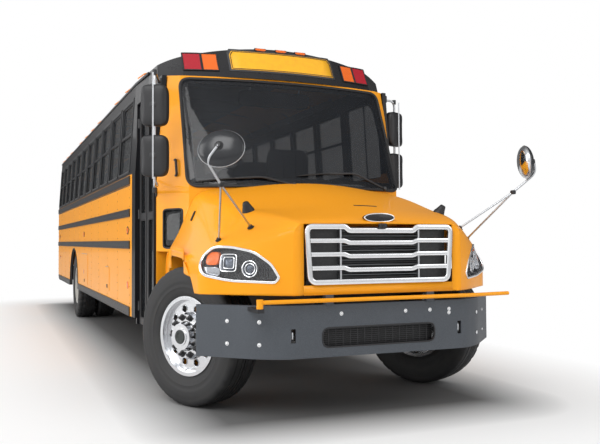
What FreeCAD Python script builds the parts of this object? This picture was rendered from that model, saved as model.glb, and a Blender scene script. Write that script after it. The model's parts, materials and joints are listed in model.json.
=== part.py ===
"""School bus with a conventional bonnet: one document of separate parts in millimetres.

The frame is +X forward, +Y to the driver's side and +Z up, with the origin on the
ground under the middle of the whole bus. Places along the bus are given as
distances ahead of or behind the front axle.
"""
import FreeCAD, Part
import Sketcher
import math
import os
import re

Vector = FreeCAD.Vector
Rotation = FreeCAD.Rotation
Placement = FreeCAD.Placement

doc = FreeCAD.newDocument("school_bus")
sheet = doc.addObject("Spreadsheet::Sheet", "Dim")

SIZES = {
    # whole bus, from the front axle
    "front_reach": 1290, "rear_reach": 10190, "wheelbase": 7108, "running_gap": 10, "seat_gap": 0.3,
    # frame rails and what crosses them
    "rail_half": 432, "rail_bottom": 690, "rail_height": 250, "rail_flange": 75, "rail_wall": 8,
    "rail_front_ahead": 900, "rail_rear_back": 10020, "member_pitch": 1080, "member_count": 10,
    "member_width": 70, "member_height": 90,
    # wheels
    "tyre_radius": 525, "tyre_half": 140, "tread_half": 112, "bead_radius": 286, "bead_half": 105,
    "rim_wall": 14, "rim_lip": 13, "track_half": 1050, "dual_pitch": 315, "kingpin_half": 910,
    "steer_rest": 27.4, "spindle_radius": 45, "spindle_gap": 0.05, "disc_wall": 16, "hub_radius": 110,
    "hand_holes": 10, "hand_hole_radius": 27, "hand_hole_circle": 208, "hub_length": 60,
    # axles and springs
    "beam_depth": 100, "beam_height": 90, "beam_top": 520, "eye_radius": 38, "eye_height": 110,
    "yoke_thickness": 38, "kingpin_radius": 18, "yoke_width": 84, "web_thickness": 26,
    "leaf_half_span": 640, "leaf_width": 76, "leaf_thickness": 42, "leaf_side": 392, "hanger_length": 90,
    "tube_radius": 70, "banjo_radius": 200, 
    # power train and tank
    "engine_front_ahead": 700, "engine_length": 830, "engine_half": 330, "engine_bottom": 760,
    "engine_height": 520, "mount_height": 60, "mount_length": 120, "radiator_ahead": 790,
    "radiator_depth": 80, "radiator_half": 400, "radiator_height": 395, "shaft_radius": 48,
    "shaft_front_z": 785, "shaft_drop": 180, "tank_front_back": 2700, "tank_length": 1300,
    "tank_width": 600, "tank_bottom": 560, "tank_height": 420, 
    "muffler_radius": 110, "muffler_length": 1100, "muffler_back": 3000, "pipe_radius": 44,
    "pipe_side": 545, "pipe_z": 985, "pipe_drop_back": 8700, "pipe_exit_z": 405, "pipe_bend": 180,
    # floor and step well
    "floor_top": 1115, "floor_wall": 40, "sill_width": 75, "bow_width": 60, "bow_depth": 60,
    "step_count": 3, "step_low": 450, "step_depth": 190, "step_sheet": 20,
    # body shell
    "body_half": 1220, "skirt_z": 499, "window_sill_z": 1904, "eave_half": 1161, "eave_z": 2830,
    "roof_z": 3070, "hatch_side": 640, "hatch_rise": 38, "hatch_sink": 60, "hatch_round": 90,
    "hatch_first_back": 3700, "hatch_second_back": 7450, "crown_radius": 3600, "haunch_half": 950, "side_wall": 40, "roof_wall": 40,
    "corner_back": 820, "corner_half": 1170, "body_rear_back": 10074, "rear_wall_thickness": 40,
    # side windows
    "window_first_back": 1829, "window_pitch": 750, "window_count": 11, "window_width": 655,
    "window_low": 1935, "window_high": 2670, "sash_z": 2330, "glass_wall": 6, "sash_bar": 26,
    "driver_window_back": 960, "driver_window_width": 760,
    # wheel arch in the skirt
    "arch_radius": 610, "skirt_corner": 300,
    # doorway and its two leaves
    "door_front_back": 870, "door_width": 740, "door_low": 440, "door_high": 2560, "leaf_wall": 40,
    "leaf_plane": 1168, "leaf_meet": 10, "leaf_frame": 62, "door_bar_z": 1470, "door_bar": 60,
    "jamb_width": 42, "jamb_plane": 1190, "jamb_inner": 1121,
    # front corner, windshield and cowl
    "cowl_low": 1150, "cowl_skin": 30, "cowl_corner_back": 800, "pillar_low_back": 400,
    "pillar_low_half": 985, "nose_low_back": 150, "wind_low": 1703, "pillar_top_back": 786,
    "pillar_top_half": 967, "nose_top_back": 670, "wind_top": 2680, "corner_top_back": 860,
    "corner_top_half": 1119, "wind_margin": 45, "wind_glass": 8, "vision_low": 1180,
    "vision_high": 1510, "vision_in": 1020, "vision_out": 1130,
    # cap above the windshield
    "cap_low": 2700, "cap_rear_back": 1300, "cap_nose_back": 650, "cap_edge_back": 800,
    "cap_edge_half": 930, "cap_side_back": 1060, "cap_lean": 220,
    "lamp_low": 2770, "lamp_high": 2930, "amber_in": 616, "lamp_split": 762, "lamp_out": 926,
    "lamp_proud": 6, "lamp_depth": 20,
    "rear_lamp_radius": 88, "rear_amber_side": 640, "rear_red_side": 850, "rear_lamp_z": 2755,
    # rear wall and its door
    "rear_door_half": 470, "rear_door_low": 1130, "rear_door_high": 2620, "rear_door_wall": 45, "rear_door_proud": 6, "barrel_length": 90,
    "rear_glass_low": 1750, "rear_glass_high": 2500, "rear_frame": 90, "rear_side_in": 620,
    "rear_side_out": 1010,
    # rails along the sides
    "rub_proud": 12, "sill_rail_low": 1810, "sill_rail_high": 1895, "seat_rail_low": 1485,
    "seat_rail_high": 1563, "floor_rail_low": 1166, "floor_rail_high": 1245, "skirt_rail_high": 588,
    # bonnet
    "hood_front_ahead": 1063, "hood_low": 872, 
    "hood_skin": 8, 
    "hood_arch_radius": 622, 
    "grille_low": 938, "grille_high": 1349, "grille_half": 582, "grille_low_half": 556, "grille_wall": 26,
    "grille_slots": 4, "grille_frame": 38, "grille_bar": 32, "grille_dip": 26, "grille_dip_half": 250,
    "grille_step": 14, "grille_run": 34, 
    "lamp_centre_ahead": 800, "lamp_side": 955, "lamp_z": 1088, "lamp_turn": 44, "bezel_width": 14, "bezel_proud": 4,
    # bumpers
    "bumper_ahead": 1045, "bumper_low": 455, "bumper_high": 806, "bumper_half": 1200,
    "bumper_sweep_back": 630, "bumper_flat_half": 700, "bumper_knee_ahead": 955, "bumper_knee_half": 870,
    "bumper_round": 70, "bumper_wall": 10, "bumper_flange": 60,
    "slot_in": 440, "slot_low": 520, "slot_high": 650, "slot_round": 32, "tow_slot_side": 650, "tow_slot_z": 560, "rear_bumper_depth": 80,
    "rear_bumper_low": 470, "rear_bumper_high": 760,
    # mirrors
    "curb_mirror_back": 450, "driver_mirror_back": 900, "mirror_post_half": 1290, "mirror_turn": 27,
    "mirror_head_half": 118, "mirror_head_height": 344, "mirror_head_depth": 96, "mirror_round": 38,
    "mirror_upper_low": 2183, "mirror_lower_low": 1766, "mirror_foot_drop": 100, "post_radius": 12, "post_bend": 30,
    "mirror_top_z": 2640,
    "cross_half_width": 155, "cross_half_height": 125, "cross_half_depth": 52, "cross_half": 1176, "cross_z": 1812,
    "cross_arm_out": 95, "cross_arm_drop": 78, "cross_bend": 30,
    "cross_joint_ahead": 1043, "cross_joint_half": 1146, "cross_joint_z": 1595,
    "cross_foot_ahead": 617, "cross_foot_half": 1032, "strut_radius": 9,
    # crossing gate and stop arm
    "gate_radius": 14, "gate_ahead": 1085, "gate_z": 838, "gate_hinge_half": 900, "gate_bend_half": 690,
    "gate_tip_half": 1100, "stop_back": 1900, "stop_size": 450, "stop_z": 1690, "stop_base_height": 220, "stop_wall": 12,
    "stop_stand": 44, "stop_gap": 6,
    # seats
    "bench_width": 990, "bench_depth": 420, "bench_height": 330, "bench_cushion": 110,
    "bench_back_wall": 90, "bench_back_top": 1080, "bench_first_back": 2350, "bench_pitch": 715,
    "bench_rows": 10, "bench_side_gap": 25, "leg_width": 40,
    # tow eyes and plate carrier
    "tow_length": 120, "tow_wall": 30, "tow_drop": 130, "tow_hole": 25, "tow_hole_up": 60,
    "carrier_wall": 5, "carrier_width": 310, "carrier_height": 165, "carrier_side": 800, "carrier_z": 930,
    "carrier_hole": 3.5, "carrier_pitch_y": 178, "carrier_pitch_z": 121,
    # driver's place
    "dash_height": 260, "dash_top": 1640, "dash_half": 930, 
    "wheel_ring": 225, "wheel_grip": 15, "wheel_back": 1010, "wheel_side": 560, "wheel_z": 1670, "column_radius": 25,
    "wheel_tilt": 25, "driver_back": 1500, "driver_width": 500, "driver_depth": 480,
}

DERIVED = {
    "front_axle_x": (SIZES["rear_reach"] - SIZES["front_reach"]) / 2,
    "rear_axle_x": (SIZES["rear_reach"] - SIZES["front_reach"]) / 2 - SIZES["wheelbase"],
}


def fill_sheet(cells):
    for row, (name, number) in enumerate(cells.items(), 1):
        sheet.set("A%d" % row, name)
        sheet.set("B%d" % row, str(number))
        sheet.setAlias("B%d" % row, name)
    doc.recompute()


fill_sheet({**SIZES, **DERIVED})


def cells(text):
    """The words of a formula as names in the sheet."""
    return re.sub(r"[a-z][a-z0-9_]*", lambda word: word.group() if word.group() == "sqrt" else "Dim." + word.group(), str(text))


def val(text):
    """A formula's number, from the sheet."""
    return float(sheet.evalExpression(cells(text)))


def place(obj, x="0", y="0", z="0"):
    for axis, text in zip("xyz", (x, y, z)):
        obj.setExpression("Placement.Base." + axis, cells(text))
    return obj


def box(name, lx, ly, lz, x, y, z):
    obj = doc.addObject("Part::Box", name)
    for side, text in (("Length", lx), ("Width", ly), ("Height", lz)):
        obj.setExpression(side, cells(text))
    return place(obj, x, y, z)


def rod(name, radius, length, x, y, z, axis=(0, 0, 1)):
    obj = doc.addObject("Part::Cylinder", name)
    obj.setExpression("Radius", cells(radius))
    obj.setExpression("Height", cells(length))
    obj.Placement = Placement(Vector(), Rotation(Vector(0, 0, 1), Vector(*axis)))
    return place(obj, x, y, z)


def join(name, items):
    if len(items) == 1:
        items[0].Label = name
        return items[0]
    obj = doc.addObject("Part::MultiFuse", name)
    obj.Shapes = items
    return obj


def group(name, items):
    """Separate solids of one part."""
    obj = doc.addObject("Part::Compound", name)
    obj.Links = items
    return obj


def cut(name, base, tool):
    obj = doc.addObject("Part::Cut", name)
    obj.Base = base
    obj.Tool = tool
    return obj


def common(name, first, second):
    obj = doc.addObject("Part::MultiCommon", name)
    obj.Shapes = [first, second]
    return obj


def shape(name, solid):
    """A part whose form neither a body nor a primitive gives."""
    obj = doc.addObject("Part::Feature", name)
    obj.Shape = solid
    return obj


def origin_plane(body, role):
    return next(f for f in body.Origin.OriginFeatures if f.Role == role)


def closed_sketch(body, role, name, corners):
    """A closed outline of straight lines, each corner tied to the sheet."""
    sketch = body.newObject("Sketcher::SketchObject", name)
    sketch.AttachmentSupport = [(origin_plane(body, role), "")]
    sketch.MapMode = "FlatFace"
    spots = [Vector(val(a), val(b), 0) for a, b in corners]
    for k, spot in enumerate(spots):
        sketch.addGeometry(Part.LineSegment(spot, spots[(k + 1) % len(spots)]))
    for k, (a, b) in enumerate(corners):
        sketch.addConstraint(Sketcher.Constraint("Coincident", k, 2, (k + 1) % len(spots), 1))
        for kind, text, number in (("DistanceX", a, spots[k].x), ("DistanceY", b, spots[k].y)):
            row = sketch.addConstraint(Sketcher.Constraint(kind, -1, 1, k, 1, number))
            sketch.setExpression("Constraints[%d]" % row, cells(text))
    return sketch


def body_of(name):
    return doc.addObject("PartDesign::Body", name)


def pad(body, sketch, length, both_ways=False):
    feature = body.newObject("PartDesign::Pad", "pad")
    feature.Profile = sketch
    feature.setExpression("Length", cells(length))
    if both_ways:
        feature.SideType = "Symmetric"
    return feature


def pocket_through(body, sketch):
    feature = body.newObject("PartDesign::Pocket", "pocket")
    feature.Profile = sketch
    feature.Type = "ThroughAll"
    feature.SideType = "Symmetric"
    return feature


def revolve(body, sketch, axis="V_Axis"):
    feature = body.newObject("PartDesign::Revolution", "turned")
    feature.Profile = sketch
    feature.ReferenceAxis = (sketch, [axis])
    feature.Angle = 360
    return feature


# --- forms that several parts share ---

def roof_section(inset):
    """Edges of the roof's section from eave to eave: haunch, crown and haunch, tangent to each other."""
    rise = val("roof_z")
    centre = rise - val("crown_radius")
    radius = val("crown_radius") - inset
    half = val("haunch_half") * radius / val("crown_radius")
    knee = Vector(0, half, centre + math.sqrt(radius ** 2 - half ** 2))
    eave = Vector(0, val("eave_half") - inset, val("eave_z"))
    slope = math.asin(half / radius)
    chord = eave - knee
    turn = math.atan2(-chord.z, chord.y) - slope
    bulge = chord.Length / 2 * math.tan(turn / 2)
    outward = Vector(0, -chord.z, chord.y) * (1 / chord.Length)
    middle = (eave + knee) * 0.5 + outward * bulge
    flip = lambda spot: Vector(spot.x, -spot.y, spot.z)
    return [Part.Arc(eave, middle, knee).toShape(),
            Part.Arc(knee, Vector(0, 0, centre + radius), flip(knee)).toShape(),
            Part.Arc(flip(knee), flip(middle), flip(eave)).toShape()]


def wall_line(inset, z):
    """Half width of the side wall at a height: upright to the window sill, then leaning in."""
    sill = val("window_sill_z")
    lean = (val("body_half") - val("eave_half")) / (val("eave_z") - sill)
    return val("body_half") - inset - max(0, z - sill) * lean


def body_section(inset, low):
    """Closed section of the whole body, from a height up to the roof."""
    edges = roof_section(inset)
    half_top = val("eave_half") - inset
    sill = val("window_sill_z")
    half_low = val("body_half") - inset
    points = [Vector(0, -half_top, val("eave_z"))]
    if low < sill:
        points += [Vector(0, -half_low, sill), Vector(0, -half_low, low)]
        points += [Vector(0, half_low, low), Vector(0, half_low, sill)]
    else:
        half = wall_line(inset, low)
        points += [Vector(0, -half, low), Vector(0, half, low)]
    points.append(Vector(0, half_top, val("eave_z")))
    edges += [Part.makeLine(a, b) for a, b in zip(points, points[1:])]
    return Part.Wire(Part.__sortEdges__(edges))


def taper_at(x_back):
    """How far the side has come in at a place behind the front axle: the front section narrows."""
    run = val("window_first_back") - val("corner_back")
    return max(0, (val("window_first_back") - x_back) / run) * (val("body_half") - val("corner_half"))


def cabin_form(inset, low, front_back):
    """Body from a height up to the roof, moved inwards, from the rear wall to a place behind the axle."""
    main = prism(body_section(inset, low), behind("window_first_back"), behind("body_rear_back"))
    joint = body_section(inset, low)
    joint.translate(Vector(behind("window_first_back"), 0, 0))
    front = body_section(inset + taper_at(front_back), low)
    front.translate(Vector(val("front_axle_x") - front_back, 0, 0))
    return main.fuse(Part.makeLoft([joint, front], True, True))


def prism(wire, x_front, x_back):
    wire = wire.copy()
    wire.translate(Vector(x_back, 0, 0))
    return Part.Face(wire).extrude(Vector(x_front - x_back, 0, 0))


def bowed_outline(z, nose_x, edge, corner, back_x):
    """Plan outline at a height: bowed front between two edge points, corners, sides and a flat back."""
    edge_x, edge_y = edge
    corner_x, corner_y = corner
    left = [Vector(edge_x, edge_y, z), Vector(corner_x, corner_y, z), Vector(back_x, corner_y, z)]
    right = [Vector(spot.x, -spot.y, z) for spot in left]
    edges = [Part.Arc(right[0], Vector(nose_x, 0, z), left[0]).toShape()]
    points = left + right[::-1]
    edges += [Part.makeLine(a, b) for a, b in zip(points, points[1:])]
    return Part.Wire(edges)


def rounded(points, reaches):
    """Closed outline through the points; an arc starts this far from each corner, or none where that is 0."""
    edges = []
    starts = []
    ends = []
    count = len(points)
    for k, reach in enumerate(reaches):
        at = points[k]
        into = (points[k - 1] - at).normalize()
        out = (points[(k + 1) % count] - at).normalize()
        starts.append(at + into * reach)
        ends.append(at + out * reach)
    for k, reach in enumerate(reaches):
        if reach:
            into = (starts[k] - points[k]).normalize()
            half = into.getAngle(ends[k] - points[k]) / 2
            radius = reach * math.tan(half)
            inward = (starts[k] + ends[k] - points[k] * 2).normalize()
            middle = points[k] + inward * (radius / math.sin(half) - radius)
            edges.append(Part.Arc(starts[k], middle, ends[k]).toShape())
        edges.append(Part.makeLine(ends[k], starts[(k + 1) % count]))
    return Part.Wire(edges)


def tube(points, radius, bend):
    """A round bar through the points, with an arc of the bend radius at each turn."""
    edges = []
    last = points[0]
    for before, at, after in zip(points, points[1:], points[2:]):
        into = (before - at).normalize()
        out = (after - at).normalize()
        half = into.getAngle(out) / 2
        reach = bend / math.tan(half)
        start = at + into * reach
        end = at + out * reach
        inward = (into + out).normalize()
        middle = at + inward * (bend / math.sin(half) - bend)
        edges.append(Part.makeLine(last, start))
        edges.append(Part.Arc(start, middle, end).toShape())
        last = end
    edges.append(Part.makeLine(last, points[-1]))
    path = Part.Wire(edges)
    first = (points[1] - points[0]).normalize()
    ring = Part.Wire(Part.makeCircle(radius, points[0], first))
    return path.makePipeShell([ring], True, False)


def ahead(name):
    """Place along the bus of a distance ahead of the front axle."""
    return val("front_axle_x") + val(name)


def behind(name):
    return val("front_axle_x") - val(name)


# --- chassis ---

def frame_rails():
    rails = []
    for side, sign in (("left", 1), ("right", -1)):
        body = body_of("rail_" + side)
        web = "%d * rail_half" % sign
        inner = "%d * (rail_half - rail_wall)" % sign
        lip = "%d * (rail_half - rail_flange)" % sign
        corners = [(web, "rail_bottom"), (web, "rail_bottom + rail_height"),
                   (lip, "rail_bottom + rail_height"), (lip, "rail_bottom + rail_height - rail_wall"),
                   (inner, "rail_bottom + rail_height - rail_wall"), (inner, "rail_bottom + rail_wall"),
                   (lip, "rail_bottom + rail_wall"), (lip, "rail_bottom")]
        channel = closed_sketch(body, "YZ_Plane", "channel_" + side, corners)
        pad(body, channel, "rail_front_ahead + rail_rear_back")
        place(body, "front_axle_x - rail_rear_back")
        rails.append(body)
    return group("frame_rails", rails)


def cross_members():
    bars = []
    for k in range(int(val("member_count"))):
        bars.append(box("member_%d" % k, "member_width", "2 * (rail_half - rail_wall)", "member_height",
                        "front_axle_x + rail_front_ahead - 2 * member_width - %d * member_pitch" % k,
                        "rail_wall - rail_half",
                        "rail_bottom + rail_height - rail_wall - member_height"))
    return group("cross_members", bars)


def engine_block():
    block = box("block", "engine_length", "2 * engine_half", "engine_height",
                "front_axle_x + engine_front_ahead - engine_length", "-engine_half", "engine_bottom")
    feet = [box("mount_%d" % k, "mount_length", "2 * (rail_half - rail_wall)", "mount_height",
                "front_axle_x + engine_front_ahead - engine_length + %s" % where,
                "rail_wall - rail_half", "rail_bottom + rail_wall + mount_height")
            for k, where in enumerate(("mount_length", "engine_length - 2 * mount_length"))]
    return join("engine_block", [block] + feet)


def radiator():
    return box("radiator", "radiator_depth", "2 * radiator_half", "radiator_height",
               "front_axle_x + radiator_ahead", "-radiator_half", "rail_bottom + rail_height")


def leaf_spring(name, axle_x, side):
    """A bowed leaf pack that rests on the axle in the middle and under a rail hanger at each end."""
    span = val("leaf_half_span")
    rest = val("beam_top") - 2
    high = val("rail_bottom") - val("leaf_thickness") - 2 * val("leaf_thickness")
    y = side * val("leaf_side") - val("leaf_width") / 2
    low = [Vector(axle_x - span, y, high), Vector(axle_x, y, rest), Vector(axle_x + span, y, high)]
    up = [spot + Vector(0, 0, val("leaf_thickness")) for spot in low]
    edges = [Part.Arc(*low).toShape(), Part.makeLine(low[2], up[2]),
             Part.Arc(*up[::-1]).toShape(), Part.makeLine(up[0], low[0])]
    leaf = Part.Face(Part.Wire(edges)).extrude(Vector(0, val("leaf_width"), 0))
    solids = [leaf]
    for end in (-1, 1):
        block = Part.makeBox(val("hanger_length"), val("leaf_width"), 2 * val("leaf_thickness") + 2)
        x = axle_x + end * (span - val("hanger_length") / 2) - val("hanger_length") / 2
        block.translate(Vector(x, y, val("rail_bottom") - 2 * val("leaf_thickness") - 2))
        solids.append(block)
    return solids[0].fuse(solids[1:]).removeSplitter()


def front_axle():
    x = val("front_axle_x")
    depth = val("beam_depth")
    reach = val("kingpin_half")
    end = reach - val("yoke_width")
    beam = Part.makeBox(depth, 2 * end, val("beam_height"))
    beam.translate(Vector(x - depth / 2, -end, val("beam_top") - val("beam_height")))
    solids = []
    for side in (1, -1):
        base = Vector(x, side * reach, val("tyre_radius") - val("eye_height") / 2)
        eye = Part.makeCylinder(val("eye_radius"), val("eye_height"), base)
        neck = Part.makeBox(val("eye_radius") * 1.6, val("yoke_width") + 10, val("beam_top") - base.z)
        inner = min(side * reach, side * (end - 10))
        neck.translate(Vector(x - val("eye_radius") * 0.8, inner, base.z))
        bore = Part.makeCylinder(val("kingpin_radius") + val("spindle_gap"), val("eye_height"), base)
        solids.append(eye.fuse(neck).cut(bore))
    springs = [leaf_spring("spring", x, side) for side in (1, -1)]
    return shape("front_axle", beam.fuse(solids + springs).removeSplitter())


def knuckle(name, side):
    """Yoke round the axle's eye, kingpin, web and spindle; modelled straight ahead at its own kingpin."""
    top = val("eye_height") / 2 + val("seat_gap")
    width = val("yoke_width")
    web_y = val("eye_radius") + val("running_gap")
    arms = []
    for low in (top, -top - val("yoke_thickness")):
        arm = Part.makeBox(width, web_y + width / 2, val("yoke_thickness"))
        arm.translate(Vector(-width / 2, -width / 2, low))
        arms.append(arm)
    web = Part.makeBox(width, val("web_thickness"), 2 * (top + val("yoke_thickness")))
    web.translate(Vector(-width / 2, web_y, -top - val("yoke_thickness")))
    pin = Part.makeCylinder(val("kingpin_radius"), 2 * top, Vector(0, 0, -top))
    offset = val("track_half") - val("kingpin_half")
    spindle = Part.makeCylinder(val("spindle_radius"), offset + 60 - web_y, Vector(0, web_y, 0), Vector(0, 1, 0))
    solid = web.fuse(arms + [pin, spindle])
    if side < 0:
        solid = solid.mirror(Vector(), Vector(0, 1, 0))
    obj = shape(name, solid.removeSplitter())
    obj.Placement = Placement(Vector(val("front_axle_x"), side * val("kingpin_half"), val("tyre_radius")),
                              Rotation(Vector(0, 0, 1), val("steer_rest")))
    return obj


def wheel_place(obj, side):
    """Turns a wheel made about its own Y axis to where the steered hub carries it."""
    turn = Rotation(Vector(0, 0, 1), val("steer_rest"))
    offset = Vector(0, side * (val("track_half") - val("kingpin_half")), 0)
    kingpin = Vector(val("front_axle_x"), side * val("kingpin_half"), val("tyre_radius"))
    flip = Rotation(Vector(0, 0, 1), 0 if side > 0 else 180)
    obj.Placement = Placement(kingpin + turn.multVec(offset), turn.multiply(flip))
    return obj


def tyre(name):
    body = body_of(name)
    bead = "bead_radius + seat_gap"
    seat = "bead_radius + rim_lip + seat_gap"
    corners = [("seat_gap - bead_half", bead), ("seat_gap - bead_half", seat), ("-0.98 * tyre_half", "0.68 * bead_radius + 0.32 * tyre_radius"),
               ("-tyre_half", "0.4 * bead_radius + 0.6 * tyre_radius"),
               ("-0.96 * tyre_half", "tyre_radius - 45"), ("-tread_half", "tyre_radius - 8"),
               ("-0.75 * tread_half", "tyre_radius"), ("0.75 * tread_half", "tyre_radius"),
               ("tread_half", "tyre_radius - 8"), ("0.96 * tyre_half", "tyre_radius - 45"),
               ("tyre_half", "0.4 * bead_radius + 0.6 * tyre_radius"),
               ("0.98 * tyre_half", "0.68 * bead_radius + 0.32 * tyre_radius"),
               ("bead_half - seat_gap", seat), ("bead_half - seat_gap", bead)]
    profile = closed_sketch(body, "XY_Plane", name + "_profile", [(b, a) for a, b in corners])
    revolve(body, profile)
    return body


def rim_front(name):
    """Drop-centre rim with its disc near the outer edge; the outer side is +Y."""
    body = body_of(name)
    inner = "bead_radius - rim_wall"
    disc = "bead_half - 30"
    corners = [("-bead_half - rim_lip", inner), ("-bead_half - rim_lip", "bead_radius + rim_lip"),
               ("-bead_half", "bead_radius + rim_lip"), ("-bead_half", "bead_radius"),
               ("bead_half", "bead_radius"), ("bead_half", "bead_radius + rim_lip"),
               ("bead_half + rim_lip", "bead_radius + rim_lip"), ("bead_half + rim_lip", inner),
               (disc, inner), (disc, "hub_radius + 70"), ("bead_half + 12", "hub_radius + 50"),
               ("bead_half + 12", "hub_radius"), ("bead_half + 70", "hub_radius - 12"), ("bead_half + 70", "spindle_radius + 20"),
               ("bead_half + 76", "spindle_radius + 20"), ("bead_half + 76", "0"), ("bead_half + 64", "0"),
               ("bead_half + 64", "spindle_radius + spindle_gap"), ("-20", "spindle_radius + spindle_gap"),
               ("-20", "hub_radius"), ("bead_half - 18", "hub_radius"), ("bead_half - 18", "hub_radius + 46"),
               ("disc_low", "hub_radius + 66"), ("disc_low", inner)]
    corners = [(a.replace("disc_low", disc + " - disc_wall"), b) for a, b in corners]
    profile = closed_sketch(body, "XY_Plane", name + "_profile", [(b, a) for a, b in corners])
    revolve(body, profile)
    holes = body.newObject("Sketcher::SketchObject", name + "_hole")
    holes.AttachmentSupport = [(origin_plane(body, "XZ_Plane"), "")]
    holes.MapMode = "FlatFace"
    holes.addGeometry(Part.Circle(Vector(val("hand_hole_circle"), 0, 0), Vector(0, 0, 1), val("hand_hole_radius")))
    for kind, ends, text in (("DistanceX", (-1, 1, 0, 3), "hand_hole_circle"), ("Radius", (0,), "hand_hole_radius")):
        row = holes.addConstraint(Sketcher.Constraint(kind, *ends, val(text)))
        holes.setExpression("Constraints[%d]" % row, cells(text))
    hole = pocket_through(body, holes)
    ring = body.newObject("PartDesign::PolarPattern", name + "_ring")
    ring.Originals = [hole]
    ring.Axis = (holes, ["N_Axis"])
    ring.Angle = 360
    ring.setExpression("Occurrences", cells("hand_holes"))
    body.Tip = ring
    return body


def rim_rear(name):
    """Two rims back to back on one disc; the outer side is +Y."""
    body = body_of(name)
    inner = "bead_radius - rim_wall"
    near = "dual_pitch / 2 - bead_half - rim_lip"
    far = "dual_pitch / 2 + bead_half + rim_lip"
    half = [(near, "bead_radius + rim_lip"), (near + " + rim_lip", "bead_radius + rim_lip"),
            (near + " + rim_lip", "bead_radius"), (far + " - rim_lip", "bead_radius"),
            (far + " - rim_lip", "bead_radius + rim_lip"), (far, "bead_radius + rim_lip"), (far, inner),
            ("disc_wall", inner), ("disc_wall", "hub_radius"), ("hub_length * 2", "hub_radius - 10"),
            ("hub_length * 2", "spindle_radius + spindle_gap")]
    other = [("-(%s)" % a, b) for a, b in reversed(half)]
    profile = closed_sketch(body, "XY_Plane", name + "_profile", [(b, a) for a, b in half + other])
    revolve(body, profile)
    return body


def wheels():
    for label, side in (("left", 1), ("right", -1)):
        wheel_place(tyre("tyre_front_" + label), side)
        wheel_place(rim_front("rim_front_" + label), side)
        knuckle("knuckle_" + label, side)
        middle = "%d * (track_half - dual_pitch / 2)" % side
        place(rim_rear("rim_rear_" + label), "rear_axle_x", middle, "tyre_radius")
        for row, way in (("outer", side), ("inner", -side)):
            place(tyre("tyre_rear_%s_%s" % (label, row)), "rear_axle_x",
                  middle + " + %d * dual_pitch / 2" % way, "tyre_radius")


def rear_axle():
    x = val("rear_axle_x")
    z = val("tyre_radius")
    reach = val("track_half") - val("dual_pitch") / 2
    inside = reach - 2 * val("hub_length") - val("running_gap")
    tube_end = Part.makeCylinder(val("tube_radius"), 2 * inside, Vector(x, -inside, z), Vector(0, 1, 0))
    spindle = Part.makeCylinder(val("spindle_radius"), 2 * (reach + 2 * val("hub_length") - 5),
                                Vector(x, 5 - reach - 2 * val("hub_length"), z), Vector(0, 1, 0))
    banjo = Part.makeSphere(val("banjo_radius"), Vector(x, 0, z))
    solids = [spindle, banjo]
    for side in (1, -1):
        saddle = Part.makeBox(val("beam_depth"), val("leaf_width"), val("tube_radius"))
        saddle.translate(Vector(x - val("beam_depth") / 2, side * val("leaf_side") - val("leaf_width") / 2,
                                val("beam_top") - val("tube_radius") + 20))
        solids += [saddle, leaf_spring("spring", x, side)]
    return shape("rear_axle", tube_end.fuse(solids).removeSplitter())


def driveshaft():
    start = Vector(behind("engine_length") + val("engine_front_ahead"), 0, val("shaft_front_z"))
    end = Vector(val("rear_axle_x") + val("banjo_radius") * 0.9, 0, val("shaft_front_z") - val("shaft_drop"))
    way = end - start
    tube_form = Part.makeCylinder(val("shaft_radius"), way.Length, start, way)
    engine = Part.makeBox(500, 500, 500, Vector(start.x - val("seat_gap"), -250, start.z - 250))
    banjo = Part.makeSphere(val("banjo_radius") + val("seat_gap"), Vector(val("rear_axle_x"), 0, val("tyre_radius")))
    return shape("driveshaft", tube_form.cut(engine).cut(banjo))


def fuel_tank():
    body = box("fuel_tank", "tank_length", "tank_width", "tank_height",
               "front_axle_x - tank_front_back - tank_length", "-rail_half - seat_gap - tank_width", "tank_bottom")
    return body


def exhaust():
    y = val("pipe_side")
    z = val("pipe_z")
    start = behind("muffler_back")
    bend_x = behind("pipe_drop_back")
    drop = z - val("pipe_exit_z")
    points = [Vector(start, y, z), Vector(bend_x, y, z), Vector(bend_x - drop, y, val("pipe_exit_z")),
              Vector(behind("rail_rear_back"), y, val("pipe_exit_z"))]
    pipe = tube(points, val("pipe_radius"), val("pipe_bend"))
    can = Part.makeCylinder(val("muffler_radius"), val("muffler_length"),
                            Vector(start - val("muffler_length"), y + 15,
                                   val("floor_top") - val("floor_wall") - val("seat_gap") - val("muffler_radius")),
                            Vector(1, 0, 0))
    return shape("exhaust", pipe.fuse(can).removeSplitter())


# --- floor ---

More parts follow.
